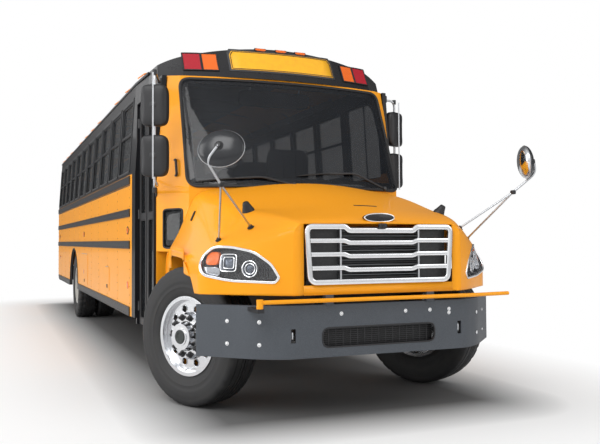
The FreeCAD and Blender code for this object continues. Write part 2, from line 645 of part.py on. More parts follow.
def floor():
    back = "front_axle_x - body_rear_back + rear_wall_thickness + seat_gap"
    under = "floor_top - floor_wall"
    half = "body_half - side_wall - seat_gap"
    plate = box("floor_plate", "body_rear_back - corner_back - rear_wall_thickness - seat_gap", "2 * (%s)" % half,
                "floor_wall", back, "-(%s)" % half, under)
    well = box("floor_well", "door_width + 2 * step_sheet + 2 * seat_gap", "step_count * step_depth + step_sheet + body_half - corner_half + 20 + running_gap", "floor_wall",
               "front_axle_x - door_front_back - door_width - step_sheet - seat_gap",
               "-(%s) - 20 + seat_gap" % half, under)
    posts = box("floor_posts", "door_width + running_gap + 2 * (jamb_width + seat_gap)", "body_half - jamb_inner + seat_gap",
                "3 * floor_wall", "front_axle_x - door_front_back - door_width - running_gap / 2 - jamb_width - seat_gap",
                "-body_half", under + " - floor_wall")
    inside = shape("cabin_inside", cabin_form(val("side_wall") + val("seat_gap"), val("skirt_z"), val("corner_back") - 1))
    plate = common("floor_trim", cut("floor_deck", plate, join("floor_holes", [well, posts])), inside)
    pieces = [plate]
    for side, y in (("left", "rail_half - sill_width"), ("right", "-rail_half")):
        pieces.append(box("sill_" + side, "body_rear_back - corner_back - rear_wall_thickness - 400", "sill_width",
                          "floor_top - floor_wall - rail_bottom - rail_height", back, y,
                          "rail_bottom + rail_height"))
    for k in range(int(val("window_count"))):
        pieces.append(box("bow_%d" % k, "bow_width", "2 * rail_half", "bow_depth",
                          "front_axle_x - window_first_back - %d * window_pitch" % k,
                          "-rail_half", "floor_top - floor_wall - bow_depth"))
    return join("floor", pieces)


def step_well():
    body = body_of("stairs")
    front = "-(corner_half - side_wall - running_gap)"
    rise = "((floor_top - step_low) / step_count)"
    corners = [("%s" % front, "step_low - step_sheet")]
    top = []
    for k in range(int(val("step_count"))):
        y = "%s + %d * step_depth" % (front, k)
        top += [(y, "step_low + %d * %s" % (k, rise)), (y + " + step_depth", "step_low + %d * %s" % (k, rise))]
    top.append((top[-1][0], "floor_top"))
    top.append((top[-1][0] + " + step_sheet", "floor_top"))
    low = []
    for k in reversed(range(int(val("step_count")))):
        y = "%s + %d * step_depth + step_sheet" % (front, k + 1)
        low += [(y, "step_low + %d * %s - step_sheet" % (k, rise))]
        if k:
            low += [("%s + %d * step_depth + step_sheet" % (front, k), "step_low + %d * %s - step_sheet" % (k, rise))]
    profile = closed_sketch(body, "YZ_Plane", "stair_profile", corners + top + low)
    pad(body, profile, "door_width")
    place(body, "front_axle_x - door_front_back - door_width")
    cheeks = [box("cheek_%d" % k, "step_sheet", "step_count * step_depth + step_sheet",
                  "floor_top - step_low + step_sheet", "front_axle_x - door_front_back" + where,
                  front, "step_low - step_sheet")
              for k, where in enumerate(("", " - door_width - step_sheet"))]
    return join("step_well", [body] + cheeks)


# --- body shell ---

def window_cut(body, name, low, high, width):
    """One window opening through a side, repeated along the bus."""
    first = "-window_first_back - (window_pitch - %s) / 2" % width
    corners = [(first, low), (first + " - " + width, low), (first + " - " + width, high), (first, high)]
    hole = pocket_through(body, closed_sketch(body, "XZ_Plane", name, corners))
    row = body.newObject("PartDesign::LinearPattern", name + "_row")
    row.Originals = [hole]
    row.Direction = (hole.Profile[0], ["H_Axis"])
    row.Reversed = True
    row.Mode = "Spacing"
    row.setExpression("Offset", cells("window_pitch"))
    row.setExpression("Occurrences", cells("window_count"))
    body.Tip = row


def jamb_block():
    """Room that the front doorpost takes, with the gap at which others seat on it."""
    gap = val("seat_gap")
    return Part.makeBox(val("jamb_width") + 2 * gap, val("jamb_plane") - val("jamb_inner") + 2 * gap, val("door_high"),
                        Vector(behind("door_front_back") + val("running_gap") / 2 - gap, -val("jamb_plane") - gap,
                               val("door_low") - gap))


def skirt_corner(side):
    """What the rounded lower rear corner takes off a side."""
    radius = val("skirt_corner")
    x = behind("body_rear_back")
    low = val("skirt_z")
    block = Part.makeBox(radius + 50, 300, radius + 50, Vector(x - 50, side * val("body_half") - 150, low - 50))
    round_off = Part.makeCylinder(radius, 300, Vector(x + radius, side * val("body_half") - 150, low + radius), Vector(0, 1, 0))
    return block.cut(round_off)


def side_wall(name, side):
    """Side from skirt to eave, about the front axle's place along the bus."""
    body = body_of(name + "_panel")
    half = "%d * body_half" % side
    inner = "%d * (body_half - side_wall)" % side
    eave = "%d * eave_half" % side
    eave_in = "%d * (eave_half - side_wall)" % side
    corners = [(half, "skirt_z"), (half, "window_sill_z"), (eave, "eave_z"), (eave_in, "eave_z"),
               (inner, "window_sill_z"), (inner, "skirt_z")]
    wall = pad(body, closed_sketch(body, "YZ_Plane", name + "_section", corners),
               "body_rear_back - window_first_back")
    wall.Profile[0].AttachmentOffset = Placement(Vector(0, 0, -val("body_rear_back")), Rotation())
    wall.Profile[0].setExpression("AttachmentOffset.Base.z", cells("-body_rear_back"))
    window_cut(body, name + "_low_sash", "window_low", "sash_z - sash_bar / 2", "window_width")
    window_cut(body, name + "_high_sash", "sash_z + sash_bar / 2", "window_high", "window_width")
    place(body, "front_axle_x")
    tools = [rod(name + "_arch", "arch_radius", "2 * body_half", "rear_axle_x", half + " - body_half",
                 "tyre_radius", (0, 1, 0))]
    if side < 0:
        tools.append(box(name + "_doorway", "door_width + running_gap", "8 * side_wall", "door_high - skirt_z + 2 * running_gap",
                         "front_axle_x - door_front_back - door_width - running_gap / 2", half + " - side_wall",
                         "skirt_z - running_gap"))
    tools.append(box(name + "_cap_seat", "cap_rear_back", "4 * body_half", "eave_z",
                     "front_axle_x - cap_rear_back - seat_gap", "-2 * body_half", "cap_low - seat_gap"))
    if side > 0:
        tools.append(box(name + "_driver", "driver_window_width", "4 * side_wall", "window_high - window_low + 60",
                         "front_axle_x - driver_window_back - driver_window_width", half + " - 3 * side_wall",
                         "window_low - 60"))
    tools.append(shape(name + "_corner", skirt_corner(side)))
    ends = []
    for back in ("window_first_back", "corner_back"):
        shift = -side * taper_at(val(back))
        points = [Vector(behind(back), val(y) + shift, val(z)) for y, z in corners]
        ends.append(Part.makePolygon(points + points[:1]))
    front = shape(name + "_front", Part.makeLoft(ends, True, True))
    pieces = [body, front]
    if side < 0:
        edge = "front_axle_x - door_front_back + running_gap / 2"
        span = "door_width + running_gap"
        depth = "jamb_plane - jamb_inner"
        foot = "door_low"
        rise = "door_high + running_gap + jamb_width - door_low"
        pieces.append(box("jamb_front", "jamb_width", depth, rise, edge, "-jamb_plane", foot))
        pieces.append(box("jamb_rear", "jamb_width", depth, rise, edge + " - (%s) - jamb_width" % span,
                          "-jamb_plane", foot))
        pieces.append(box("jamb_head", span + " + 2 * jamb_width", depth, "jamb_width",
                          edge + " - (%s) - jamb_width" % span, "-jamb_plane", "door_high + running_gap"))
    return cut(name, join(name + "_whole", pieces), join(name + "_tools", tools))


def side_glass():
    """Panes in the side windows, one sloping sheet cut by the openings."""
    panes = []
    low = val("window_low") + val("seat_gap")
    high = val("window_high") - val("seat_gap")
    middle = val("side_wall") / 2
    half_glass = val("glass_wall") / 2
    spans = [(-1, behind("window_first_back") - k * val("window_pitch")) for k in range(int(val("window_count")))]
    spans += [(1, x) for side, x in spans]
    rail = val("sash_bar") / 2 + val("seat_gap")
    for side, front in spans:
        x_front = front - (val("window_pitch") - val("window_width")) / 2 - val("seat_gap")
        for foot, head in ((low, val("sash_z") - rail), (val("sash_z") + rail, high)):
            panes.append(slanted_pane(side, x_front, val("window_width") - 2 * val("seat_gap"), foot, head, middle, half_glass))
    x_front = behind("driver_window_back") - val("seat_gap")
    shift = taper_at(val("driver_window_back") + val("driver_window_width") / 2)
    panes.append(slanted_pane(1, x_front, val("driver_window_width") - 2 * val("seat_gap"),
                              val("window_low") - 60 + val("seat_gap"), high, middle + shift, half_glass))
    return shape("side_glass", Part.makeCompound(panes))


def slanted_pane(side, x_front, width, low, high, inset, half_glass):
    corners = [(wall_line(inset - half_glass, low), low), (wall_line(inset - half_glass, high), high),
               (wall_line(inset + half_glass, high), high), (wall_line(inset + half_glass, low), low)]
    points = [Vector(x_front - width, side * y, z) for y, z in corners]
    face = Part.Face(Part.makePolygon(points + points[:1]))
    return face.extrude(Vector(width, 0, 0))


def roof():
    shell = cabin_form(0, val("eave_z") - 300, val("cap_rear_back") + val("seat_gap"))
    hollow = cabin_form(val("roof_wall"), val("eave_z") - 310, val("cap_rear_back") - 50)
    hollow.translate(Vector(-1, 0, 0))
    above = Part.makeBox(20000, 4000, 1000, Vector(-10000, -2000, val("eave_z") + val("seat_gap")))
    lids = []
    for back in ("hatch_first_back", "hatch_second_back"):
        side = val("hatch_side")
        lid = Part.makeBox(side, side, val("hatch_rise") + val("hatch_sink"),
                           Vector(behind(back) - side / 2, -side / 2, val("roof_z") - val("hatch_sink")))
        upright = [edge for edge in lid.Edges if abs(edge.tangentAt(edge.FirstParameter).z) > 0.9]
        lids.append(lid.makeFillet(val("hatch_round"), upright).cut(hollow))
    return shape("roof", shell.cut(hollow).common(above).fuse(lids).removeSplitter())


def front_skin(inset):
    """Outer form of the cowl and pillars, moved inwards: upright below the windshield, leaning back above."""
    levels = []
    lows = [val("cowl_low") + (inset if inset > val("cowl_skin") / 2 else 0), val("wind_low")]
    for z in lows:
        levels.append(bowed_outline(z, behind("nose_low_back") - inset,
                                    (behind("pillar_low_back") - inset, val("pillar_low_half") - inset * 0.4),
                                    (behind("cowl_corner_back") - inset, val("corner_half") - inset),
                                    behind("corner_back") - 2 * inset))
    levels.append(bowed_outline(val("cap_low"), behind("nose_top_back") - inset,
                                (behind("pillar_top_back") - inset, val("pillar_top_half") - inset * 0.4),
                                (behind("corner_top_back") - inset, val("corner_top_half") - inset),
                                behind("cap_rear_back")))
    lower = Part.makeLoft(levels[:2], True, True)
    upper = Part.makeLoft(levels[1:], True, True)
    return lower.fuse(upper)


def windshield_prism(margin):
    """Straight-through block of the windshield's outline, widened by a margin."""
    low = val("wind_low") + val("wind_margin") - margin
    high = val("wind_top") - val("wind_margin") + margin
    half_low = val("pillar_low_half") - val("wind_margin") + margin
    half_high = val("pillar_top_half") - val("wind_margin") + margin
    x = behind("cap_rear_back")
    points = [Vector(x, -half_low, low), Vector(x, half_low, low), Vector(x, half_high, high),
              Vector(x, -half_high, high)]
    face = Part.Face(Part.makePolygon(points + points[:1]))
    return face.extrude(Vector(val("cap_rear_back"), 0, 0))


def front_frame():
    shell = front_skin(0).cut(front_skin(val("cowl_skin")))
    solid = shell.cut(windshield_prism(0))
    for side in (1, -1):
        hole = Part.makeBox(400, val("vision_out") - val("vision_in"), val("vision_high") - val("vision_low"))
        y = val("vision_in") if side > 0 else -val("vision_out")
        hole.translate(Vector(behind("corner_back"), y, val("vision_low")))
        solid = solid.cut(hole)
    reach = (behind("corner_back"), behind("cap_rear_back") - 10)
    walls = prism(body_section(-20, val("skirt_z")), *reach)
    inside = cabin_form(val("side_wall") + val("running_gap"), val("skirt_z") - 10, val("corner_back") - 1)
    inside = inside.cut(prism(body_section(-20, val("skirt_z")), behind("corner_top_back") - val("cowl_skin"), reach[1]))
    solid = solid.cut(walls.cut(inside)).cut(jamb_block())
    posts = [Part.makeBox(18, val("corner_half") - 640, val("cowl_low") - val("skirt_z"),
                          Vector(behind("corner_back"), 640 if side > 0 else -val("corner_half"), val("skirt_z")))
             for side in (1, -1)]
    return shape("front_frame", solid.fuse(posts).removeSplitter())


def windshield():
    sheet_form = front_skin(val("cowl_skin") / 2).cut(front_skin(val("cowl_skin") / 2 + val("wind_glass")))
    return shape("windshield", sheet_form.common(windshield_prism(-val("seat_gap"))))


def nose_form(shift):
    """The leaning, bowed front of the cap, moved forwards."""
    levels = []
    for share in (0, 1):
        lean = val("cap_lean") * share - shift
        levels.append(bowed_outline(val("cap_low") + share * 400, behind("cap_nose_back") - lean,
                                    (behind("cap_edge_back") - lean, val("cap_edge_half")),
                                    (behind("cap_side_back") - lean / 2, val("body_half")),
                                    behind("cap_rear_back")))
    return Part.makeLoft(levels, True, True)


def lamp_block(side, low, high, margin):
    """Straight-through block of one roof lamp's outline."""
    width = val(high) - val(low) - 16 + 2 * margin
    y = min(side * (val(low) + 8 - margin), side * (val(low) + 8 - margin + width))
    return Part.makeBox(900, width, val("lamp_high") - val("lamp_low") + 2 * margin,
                        Vector(behind("cap_rear_back"), y, val("lamp_low") - margin))


def roof_lamp_places():
    return [(side, low, high) for side in (1, -1)
            for low, high in (("amber_in", "lamp_split"), ("lamp_split", "lamp_out"))]


def front_cap():
    low = val("cap_low") + val("seat_gap")
    solid = nose_form(0).common(cabin_form(0, low, val("cap_nose_back") - 100))
    inside = cabin_form(val("roof_wall"), low - 50, val("cap_nose_back") - 100)
    solid = solid.cut(inside.common(nose_form(-2 * val("roof_wall"))))
    back = nose_form(-val("lamp_depth") - val("seat_gap"))
    for spot in roof_lamp_places():
        solid = solid.cut(lamp_block(*spot, val("seat_gap")).cut(back))
    return shape("front_cap", solid)


def warning_lamps():
    """Amber and red lamps set in the cap."""
    front = nose_form(val("lamp_proud"))
    back = nose_form(-val("lamp_depth"))
    lamps = [lamp_block(*spot, 0).common(front).cut(back) for spot in roof_lamp_places()]
    rear = behind("body_rear_back") - val("lamp_depth")
    for side in (1, -1):
        for place in ("rear_amber_side", "rear_red_side"):
            lamps.append(Part.makeCylinder(val("rear_lamp_radius"), val("lamp_depth") - val("seat_gap"),
                                           Vector(rear, side * val(place), val("rear_lamp_z")), Vector(1, 0, 0)))
    return shape("warning_lamps", Part.makeCompound(lamps))


def rear_wall():
    back = behind("body_rear_back")
    front = back + val("rear_wall_thickness")
    solid = prism(body_section(val("side_wall") + val("seat_gap"), val("rear_bumper_high") + val("running_gap")),
                  front, back)
    door = Part.makeBox(200, 2 * val("rear_door_half"), val("rear_door_high") - val("rear_door_low"),
                        Vector(back - 50, -val("rear_door_half"), val("rear_door_low")))
    solid = solid.cut(door)
    for side in (1, -1):
        y = val("rear_side_in") if side > 0 else -val("rear_side_out")
        pane = Part.makeBox(200, val("rear_side_out") - val("rear_side_in"),
                            val("rear_glass_high") - val("rear_glass_low"),
                            Vector(back - 50, y, val("rear_glass_low")))
        solid = solid.cut(pane)
    return shape("rear_wall", solid)


def rear_glass():
    panes = []
    for side in (1, -1):
        y = "rear_side_in + seat_gap" if side > 0 else "seat_gap - rear_side_out"
        panes.append(box("rear_pane_%d" % (side > 0), "glass_wall", "rear_side_out - rear_side_in - 2 * seat_gap",
                         "rear_glass_high - rear_glass_low - 2 * seat_gap",
                         "front_axle_x - body_rear_back + rear_wall_thickness / 2 - glass_wall / 2", y,
                         "rear_glass_low + seat_gap"))
    return group("rear_glass", panes)


def barrels(name, radius, x, y, low, high):
    """Three hinge barrels on one upright axis, spread between two heights."""
    rows = []
    for k, share in enumerate((0.08, 0.5, 0.92)):
        z = "%s + %s * (%s - (%s)) - barrel_length / 2" % (low, share, high, low)
        rows.append(rod("%s_barrel_%d" % (name, k), radius, "barrel_length", x, y, z))
    return rows


def rear_door():
    """Emergency door, hinged outside its curb-side edge."""
    x = "front_axle_x - body_rear_back - rear_door_proud"
    leaf = box("rear_leaf", "rear_door_wall", "2 * (rear_door_half - running_gap)",
               "rear_door_high - rear_door_low - 2 * running_gap", x,
               "running_gap - rear_door_half", "rear_door_low + running_gap")
    radius = "sqrt(rear_door_proud ^ 2 + running_gap ^ 2) - seat_gap"
    hinges = barrels("rear_leaf", radius, x, "running_gap - rear_door_half",
                     "rear_door_low + running_gap", "rear_door_high - running_gap")
    hole = box("rear_leaf_hole", "3 * rear_door_wall", "2 * (rear_door_half - rear_frame)",
               "rear_glass_high - rear_glass_low", "front_axle_x - body_rear_back - rear_door_wall",
               "rear_frame - rear_door_half", "rear_glass_low")
    pane = box("rear_door_glass", "glass_wall", "2 * (rear_door_half - rear_frame - seat_gap)",
               "rear_glass_high - rear_glass_low - 2 * seat_gap", "front_axle_x - body_rear_back + rear_door_wall / 2",
               "rear_frame + seat_gap - rear_door_half", "rear_glass_low + seat_gap")
    return cut("rear_door", join("rear_leaf_whole", [leaf] + hinges), hole), pane


def door_leaf(name, front, hinge_front):
    """One glazed leaf of the entry door: frame, bar and panes, named by the distance of its front edge."""
    width = "(door_width - 3 * leaf_meet) / 2"
    x = "front_axle_x - (%s) - %s" % (front, width)
    y = "-leaf_plane"
    slab = box(name + "_slab", width, "leaf_wall", "door_high - door_low - 2 * running_gap", x, y,
               "door_low + running_gap")
    tools = []
    panes = []
    spans = (("door_low + running_gap + leaf_frame", "door_bar_z - door_bar / 2"),
             ("door_bar_z + door_bar / 2", "door_high - running_gap - leaf_frame"))
    for k, (low, high) in enumerate(spans):
        tools.append(box("%s_hole_%d" % (name, k), width + " - 2 * leaf_frame", "3 * leaf_wall",
                         "%s - (%s)" % (high, low), x + " + leaf_frame", y + " - leaf_wall", low))
        panes.append(box("%s_pane_%d" % (name, k), width + " - 2 * leaf_frame - 2 * seat_gap", "glass_wall",
                         "%s - (%s) - 2 * seat_gap" % (high, low), x + " + leaf_frame + seat_gap",
                         y + " + leaf_wall / 2 - glass_wall / 2", low + " + seat_gap"))
    hinge_x = "front_axle_x - (%s)" % front if hinge_front else x
    hinges = barrels(name, "1.5 * running_gap - seat_gap", hinge_x, y, "door_low + running_gap",
                     "door_high - running_gap")
    whole = join(name + "_whole", [slab] + hinges)
    return cut(name, whole, join(name + "_holes", tools)), group(name + "_glass", panes)


def rub_rails():
    length = "body_rear_back - window_first_back"
    rails = []
    for side in (1, -1):
        y = "body_half" if side > 0 else "-body_half - rub_proud"
        for k, (low, high) in enumerate((("sill_rail_low", "sill_rail_high"), ("seat_rail_low", "seat_rail_high"),
                                         ("floor_rail_low", "floor_rail_high"))):
            rails.append(box("rail_%d_%d" % (k, side > 0), length, "rub_proud", "%s - %s" % (high, low),
                             "front_axle_x - body_rear_back", y, low))
        rails.append(box("skirt_front_%d" % (side > 0), "wheelbase - window_first_back - arch_radius", "rub_proud",
                         "skirt_rail_high - skirt_z", "rear_axle_x + arch_radius", y, "skirt_z"))
        rails.append(box("skirt_back_%d" % (side > 0), "body_rear_back - wheelbase - arch_radius", "rub_proud",
                         "skirt_rail_high - skirt_z", "front_axle_x - body_rear_back", y, "skirt_z"))
    corners = [shape("rail_corner_%d" % (side > 0), skirt_corner(side)) for side in (1, -1)]
    return cut("rub_rails", group("rails_plain", rails), join("rail_corners", corners))


# --- bonnet and front end ---

HOOD_SECTIONS = (
    # ahead of the axle, side, shoulder height, fender (y, z), upper edge (y, z), crown height
    (1063, 655, 1130, 652, 1300, 610, 1350, 1365),
    (986, 770, 1120, 748, 1282, 655, 1378, 1395),
    (778, 1010, 1105, 925, 1262, 750, 1425, 1460),
    (600, 1180, 1070, 1045, 1240, 825, 1450, 1520),
    (0, 1192, 1110, 1070, 1275, 900, 1590, 1712),
    (-620, 1120, 1120, 1040, 1300, 960, 1700, 1862),
)

HOOD_STATIONS = (1063, 1030, 986, 930, 860, 778, 690, 600, 430, 220, 0, -300, -620)

HOOD_ROUNDING = (
    # share of the shorter side beside each corner of a section: shoulder, fender, upper edge, crown
    0.42, 0.42, 0.30, 0.45,
)


def smooth_row(table, at):
    """A row between the table's rows, by a cubic that never overshoots; the first column is the place."""
    places = [row[0] for row in table]
    k = min(sum(1 for place in places[1:-1] if at < place), len(table) - 2)
    span = places[k + 1] - places[k]
    share = (at - places[k]) / span
    blend = []
    for column in range(1, len(table[0])):
        rises = [(b[column] - a[column]) / (b[0] - a[0]) for a, b in zip(table, table[1:])]
        slopes = [rises[0]] + [2 * a * b / (a + b) if a * b > 0 else 0 for a, b in zip(rises, rises[1:])] + [rises[-1]]
        start, end = table[k][column], table[k + 1][column]
        blend.append((2 * share ** 3 - 3 * share ** 2 + 1) * start + (3 * share ** 2 - 2 * share ** 3) * end
                     + (share ** 3 - 2 * share ** 2 + share) * span * slopes[k]
                     + (share ** 3 - share ** 2) * span * slopes[k + 1])
    return blend


def hood_form(inset):
    """Outer form of the bonnet, moved inwards: rounded sections from the nose to the windshield's foot."""
    wires = []
    for where in HOOD_STATIONS:
        side, shoulder, fender, fender_z, upper, upper_z, crown = smooth_row(HOOD_SECTIONS, where)
        x = val("front_axle_x") + where - (inset if where in (HOOD_STATIONS[0], HOOD_STATIONS[-1]) else 0)
        low = val("hood_low") - (100 if inset > 0 else 0)
        half = [(side - inset, low), (side - inset, shoulder - inset / 2), (fender - inset * 0.7, fender_z - inset * 0.7),
                (upper - inset * 0.5, upper_z - inset), (0, crown - inset)]
        points = [Vector(x, -y, z) for y, z in half] + [Vector(x, y, z) for y, z in half[-2::-1]]
        gaps = [(b - a).Length for a, b in zip(points, points[1:])]
        shares = HOOD_ROUNDING + HOOD_ROUNDING[-2::-1]
        reaches = [0] + [share * min(before, after) for share, before, after in zip(shares, gaps, gaps[1:])] + [0]
        wires.append(rounded(points, reaches))
    return Part.makeLoft(wires, True, True)


LAMP_OUTLINE = (
    # along the lamp from its middle towards the outer end, up, share of the corner's sides that is rounded
    (-318, -75, 0.35), (-190, 50, 0.38), (60, 112, 0.40), (215, 112, 0.42), (311, 30, 0.42), (270, -85, 0.42),
    (60, -125, 0.40), (-270, -132, 0.40),
)


def lamp_prism(side, margin):
    """Block of a headlamp's outline, square to the swept corner of the nose."""
    points = [Vector(-200, side * along, up) for along, up, share in LAMP_OUTLINE]
    gaps = [(points[(k + 1) % len(points)] - spot).Length for k, spot in enumerate(points)]
    reaches = [share * min(gaps[k - 1], gaps[k]) for k, (along, up, share) in enumerate(LAMP_OUTLINE)]
    face = Part.Face(rounded(points, reaches))
    if margin:
        face = Part.Face(face.OuterWire.makeOffset2D(margin))
    form = face.extrude(Vector(400, 0, 0))
    form.Placement = Placement(Vector(ahead("lamp_centre_ahead"), side * val("lamp_side"), val("lamp_z")),
                               Rotation(Vector(0, 0, 1), side * val("lamp_turn")))
    return form


def hood():
    skin = hood_form(0).cut(hood_form(val("hood_skin")))
    arches = Part.makeCylinder(val("hood_arch_radius"), 4000, Vector(val("front_axle_x"), -2000, val("tyre_radius")),
                               Vector(0, 1, 0))
    opening = Part.makeBox(300, 2 * (val("grille_half") + 0.3), val("grille_high") - val("grille_low") + 0.6,
                           Vector(ahead("hood_front_ahead") - 150, -val("grille_half") - 0.3, val("grille_low") - 0.3))
    cowl = front_skin(-val("running_gap"))
    solid = skin.cut(arches).cut(opening).cut(cowl)
    for side in (1, -1):
        solid = solid.cut(lamp_prism(side, val("seat_gap")))
    return shape("hood", solid)


def grille():
    """Bright frame with a dip in its upper edge, and bars that step down in the middle."""
    body = body_of("grille")
    plane = "front_axle_x + hood_front_ahead - hood_skin"
    dip = [("grille_dip_half + grille_run", "grille_high"), ("grille_dip_half", "grille_high - grille_dip")]
    half = [("grille_low_half", "grille_low"), ("grille_half", "grille_high")] + dip
    outline = half + [("-(%s)" % y, z) for y, z in reversed(half)]
    frame = closed_sketch(body, "YZ_Plane", "grille_outline", outline)
    pad(body, frame, "grille_wall")
    pitch = "(grille_high - grille_low - 2 * grille_frame + grille_bar) / grille_slots"
    last = int(val("grille_slots")) - 1
    for k in range(last + 1):
        low = "grille_low + grille_frame + %d * %s" % (k, pitch)
        high = low + " + " + pitch + " - grille_bar"
        fall_low = "grille_step" if k else "0"
        fall_high = "grille_step" if k < last else "grille_dip"
        edge = "grille_low_half - grille_frame"
        right = [(edge, low), (edge, high), ("grille_dip_half + grille_run", high),
                 ("grille_dip_half", high + " - " + fall_high)]
        left = [("-(%s)" % y, z) for y, z in reversed(right)]
        floor_run = [("-(grille_dip_half + grille_run)", low), ("-grille_dip_half", low + " - " + fall_low),
                     ("grille_dip_half", low + " - " + fall_low), ("grille_dip_half + grille_run", low)]
        slot = pocket_through(body, closed_sketch(body, "YZ_Plane", "grille_slot_%d" % k,
                                                  right + left + (floor_run if k else [])))
        body.Tip = slot
    place(body, plane)
    return body


def headlamps():
    """Lens and bezel of each lamp, following the bonnet's skin."""
    back = hood_form(50)
    lens = hood_form(-1).cut(back)
    bezel = hood_form(-val("bezel_proud")).cut(back)
    lamps = []
    for side in (1, -1):
        outer = lamp_prism(side, 0)
        ring = outer.cut(lamp_prism(side, -val("bezel_width"))).common(bezel)
        lamps.append(ring.fuse(outer.common(lens)).removeSplitter())
    return shape("headlamps", Part.makeCompound(lamps))


def bumper_plan(inset):
    """Plan outline of the front bumper's outer face, moved inwards: flat middle and rounded ends swept back."""
    half = [(ahead("bumper_sweep_back"), val("bumper_half") - inset),
            (ahead("bumper_knee_ahead") - inset / 2, val("bumper_knee_half") - inset * 0.9),
            (ahead("bumper_ahead") - inset, val("bumper_flat_half") - inset / 2)]
    return [Vector(x, -y, 0) for x, y in half] + [Vector(x, y, 0) for x, y in reversed(half)]


def bumper_block(inset, low, high):
    """Solid behind the bumper's face, between two heights."""
    reach = val("bumper_round")
    wire = rounded(bumper_plan(inset), [0, reach, reach, reach, reach, 0])
    wire.translate(Vector(0, 0, low))
    return Part.Face(wire).extrude(Vector(0, 0, high - low))


def front_bumper():
    """Pressed channel: face with turned-in upper and lower edges, a slot, and the lugs that carry the bonnet."""
    low, high = val("bumper_low"), val("bumper_high")
    wall = val("bumper_wall")
    band = bumper_block(0, low, high)
    band = band.cut(bumper_block(wall, low + wall, high - wall))
    open_back = bumper_block(val("bumper_flange"), low - 10, high + 10)
    band = band.cut(open_back)
    slot = Part.makeBox(200, 2 * val("slot_in"), val("slot_high") - val("slot_low"),
                        Vector(ahead("bumper_ahead") - 100, -val("slot_in"), val("slot_low")))
    along = [edge for edge in slot.Edges if abs(edge.tangentAt(edge.FirstParameter).x) > 0.9]
    slot = slot.makeFillet(val("slot_round"), along)
    brackets = []
    for side in (1, -1):
        x0 = ahead("rail_front_ahead")
        y = side * (val("rail_half") - val("rail_flange") / 2) - 30
        brackets.append(Part.makeBox(ahead("bumper_ahead") - wall - x0, 60, 90, Vector(x0, y, high - 100)))
        brackets.append(Part.makeBox(ahead("hood_front_ahead") - ahead("bumper_ahead") + wall + 20, 60,
                                     val("hood_low") - val("seat_gap") - high,
                                     Vector(ahead("bumper_ahead") - wall - 20, y, high)))
    solid = band.cut(slot).fuse(brackets)
    for side in (1, -1):
        y = side * val("tow_slot_side")
        solid = solid.cut(Part.makeBox(200, 34, 92, Vector(ahead("bumper_ahead") - 180, y - 17, val("tow_slot_z"))))
    return shape("front_bumper", solid.removeSplitter())


def rear_bumper():
    beam = box("rear_beam", "rear_bumper_depth", "2 * body_half - 60", "rear_bumper_high - rear_bumper_low",
               "front_axle_x - rear_reach", "30 - body_half", "rear_bumper_low")
    arms = [box("rear_arm_%d" % (side > 0), "rear_reach - rear_bumper_depth - rail_rear_back - seat_gap",
                "rail_flange - rail_wall", "rear_bumper_high - rail_bottom - seat_gap",
                "front_axle_x - rear_reach + rear_bumper_depth",
                "rail_half - rail_flange" if side > 0 else "rail_wall - rail_half", "rail_bottom")
            for side in (1, -1)]
    return join("rear_bumper", [beam] + arms)


def crossing_gate():
    x = ahead("gate_ahead")
    z = val("gate_z")
    points = [Vector(x, -val("gate_hinge_half"), z), Vector(x, val("gate_bend_half"), z),
              Vector(x - 60, val("gate_tip_half"), z)]
    bar = tube(points, val("gate_radius"), 150)
    hub = Part.makeCylinder(22, 60, Vector(x, -val("gate_hinge_half"), z - 40))
    return shape("crossing_gate", bar.fuse(hub).removeSplitter())


def gate_bracket():
    x = ahead("bumper_ahead") - 200
    top = val("gate_z") - 40 - val("seat_gap")
    arm = Part.makeBox(ahead("gate_ahead") - x + 22, 44, 26, Vector(x, -val("gate_hinge_half") - 22, top - 26))
    return shape("gate_bracket", arm.cut(bumper_block(0, 0, val("bumper_high") + val("hood_low"))))


def stop_arm():
    """Blank eight-sided sign on its hinge at the driver's side."""
    size = val("stop_size")
    radius = size / 2 / math.cos(math.pi / 8)
    y = val("body_half") + val("stop_stand") - val("stop_wall")
    centre = Vector(behind("stop_back") - size / 2 - 30, y, val("stop_z"))
    spots = [centre + Vector(radius * math.cos(math.pi * (2 * k + 1) / 8), 0, radius * math.sin(math.pi * (2 * k + 1) / 8))
             for k in range(8)]
    sign = Part.Face(Part.makePolygon(spots + spots[:1])).extrude(Vector(0, val("stop_wall"), 0))
    strap = Part.makeBox(size / 2, 12, 90, Vector(behind("stop_back") - size / 2, y, val("stop_z") - 45))
    pin = Part.makeCylinder(val("stop_gap") - val("seat_gap"), 160,
                            Vector(behind("stop_back"), y + val("stop_wall"), val("stop_z") - 80))
    return shape("stop_arm", sign.fuse([strap, pin]).removeSplitter())


def stop_base():
    return box("stop_base", "40", "stop_stand", "stop_base_height", "front_axle_x - stop_back + stop_gap", "body_half",
               "stop_z - stop_base_height / 2")


# --- mirrors ---

MIRROR_POSTS = (
    # side, place behind the axle
    (1, "driver_mirror_back"),
    (-1, "curb_mirror_back"),
)


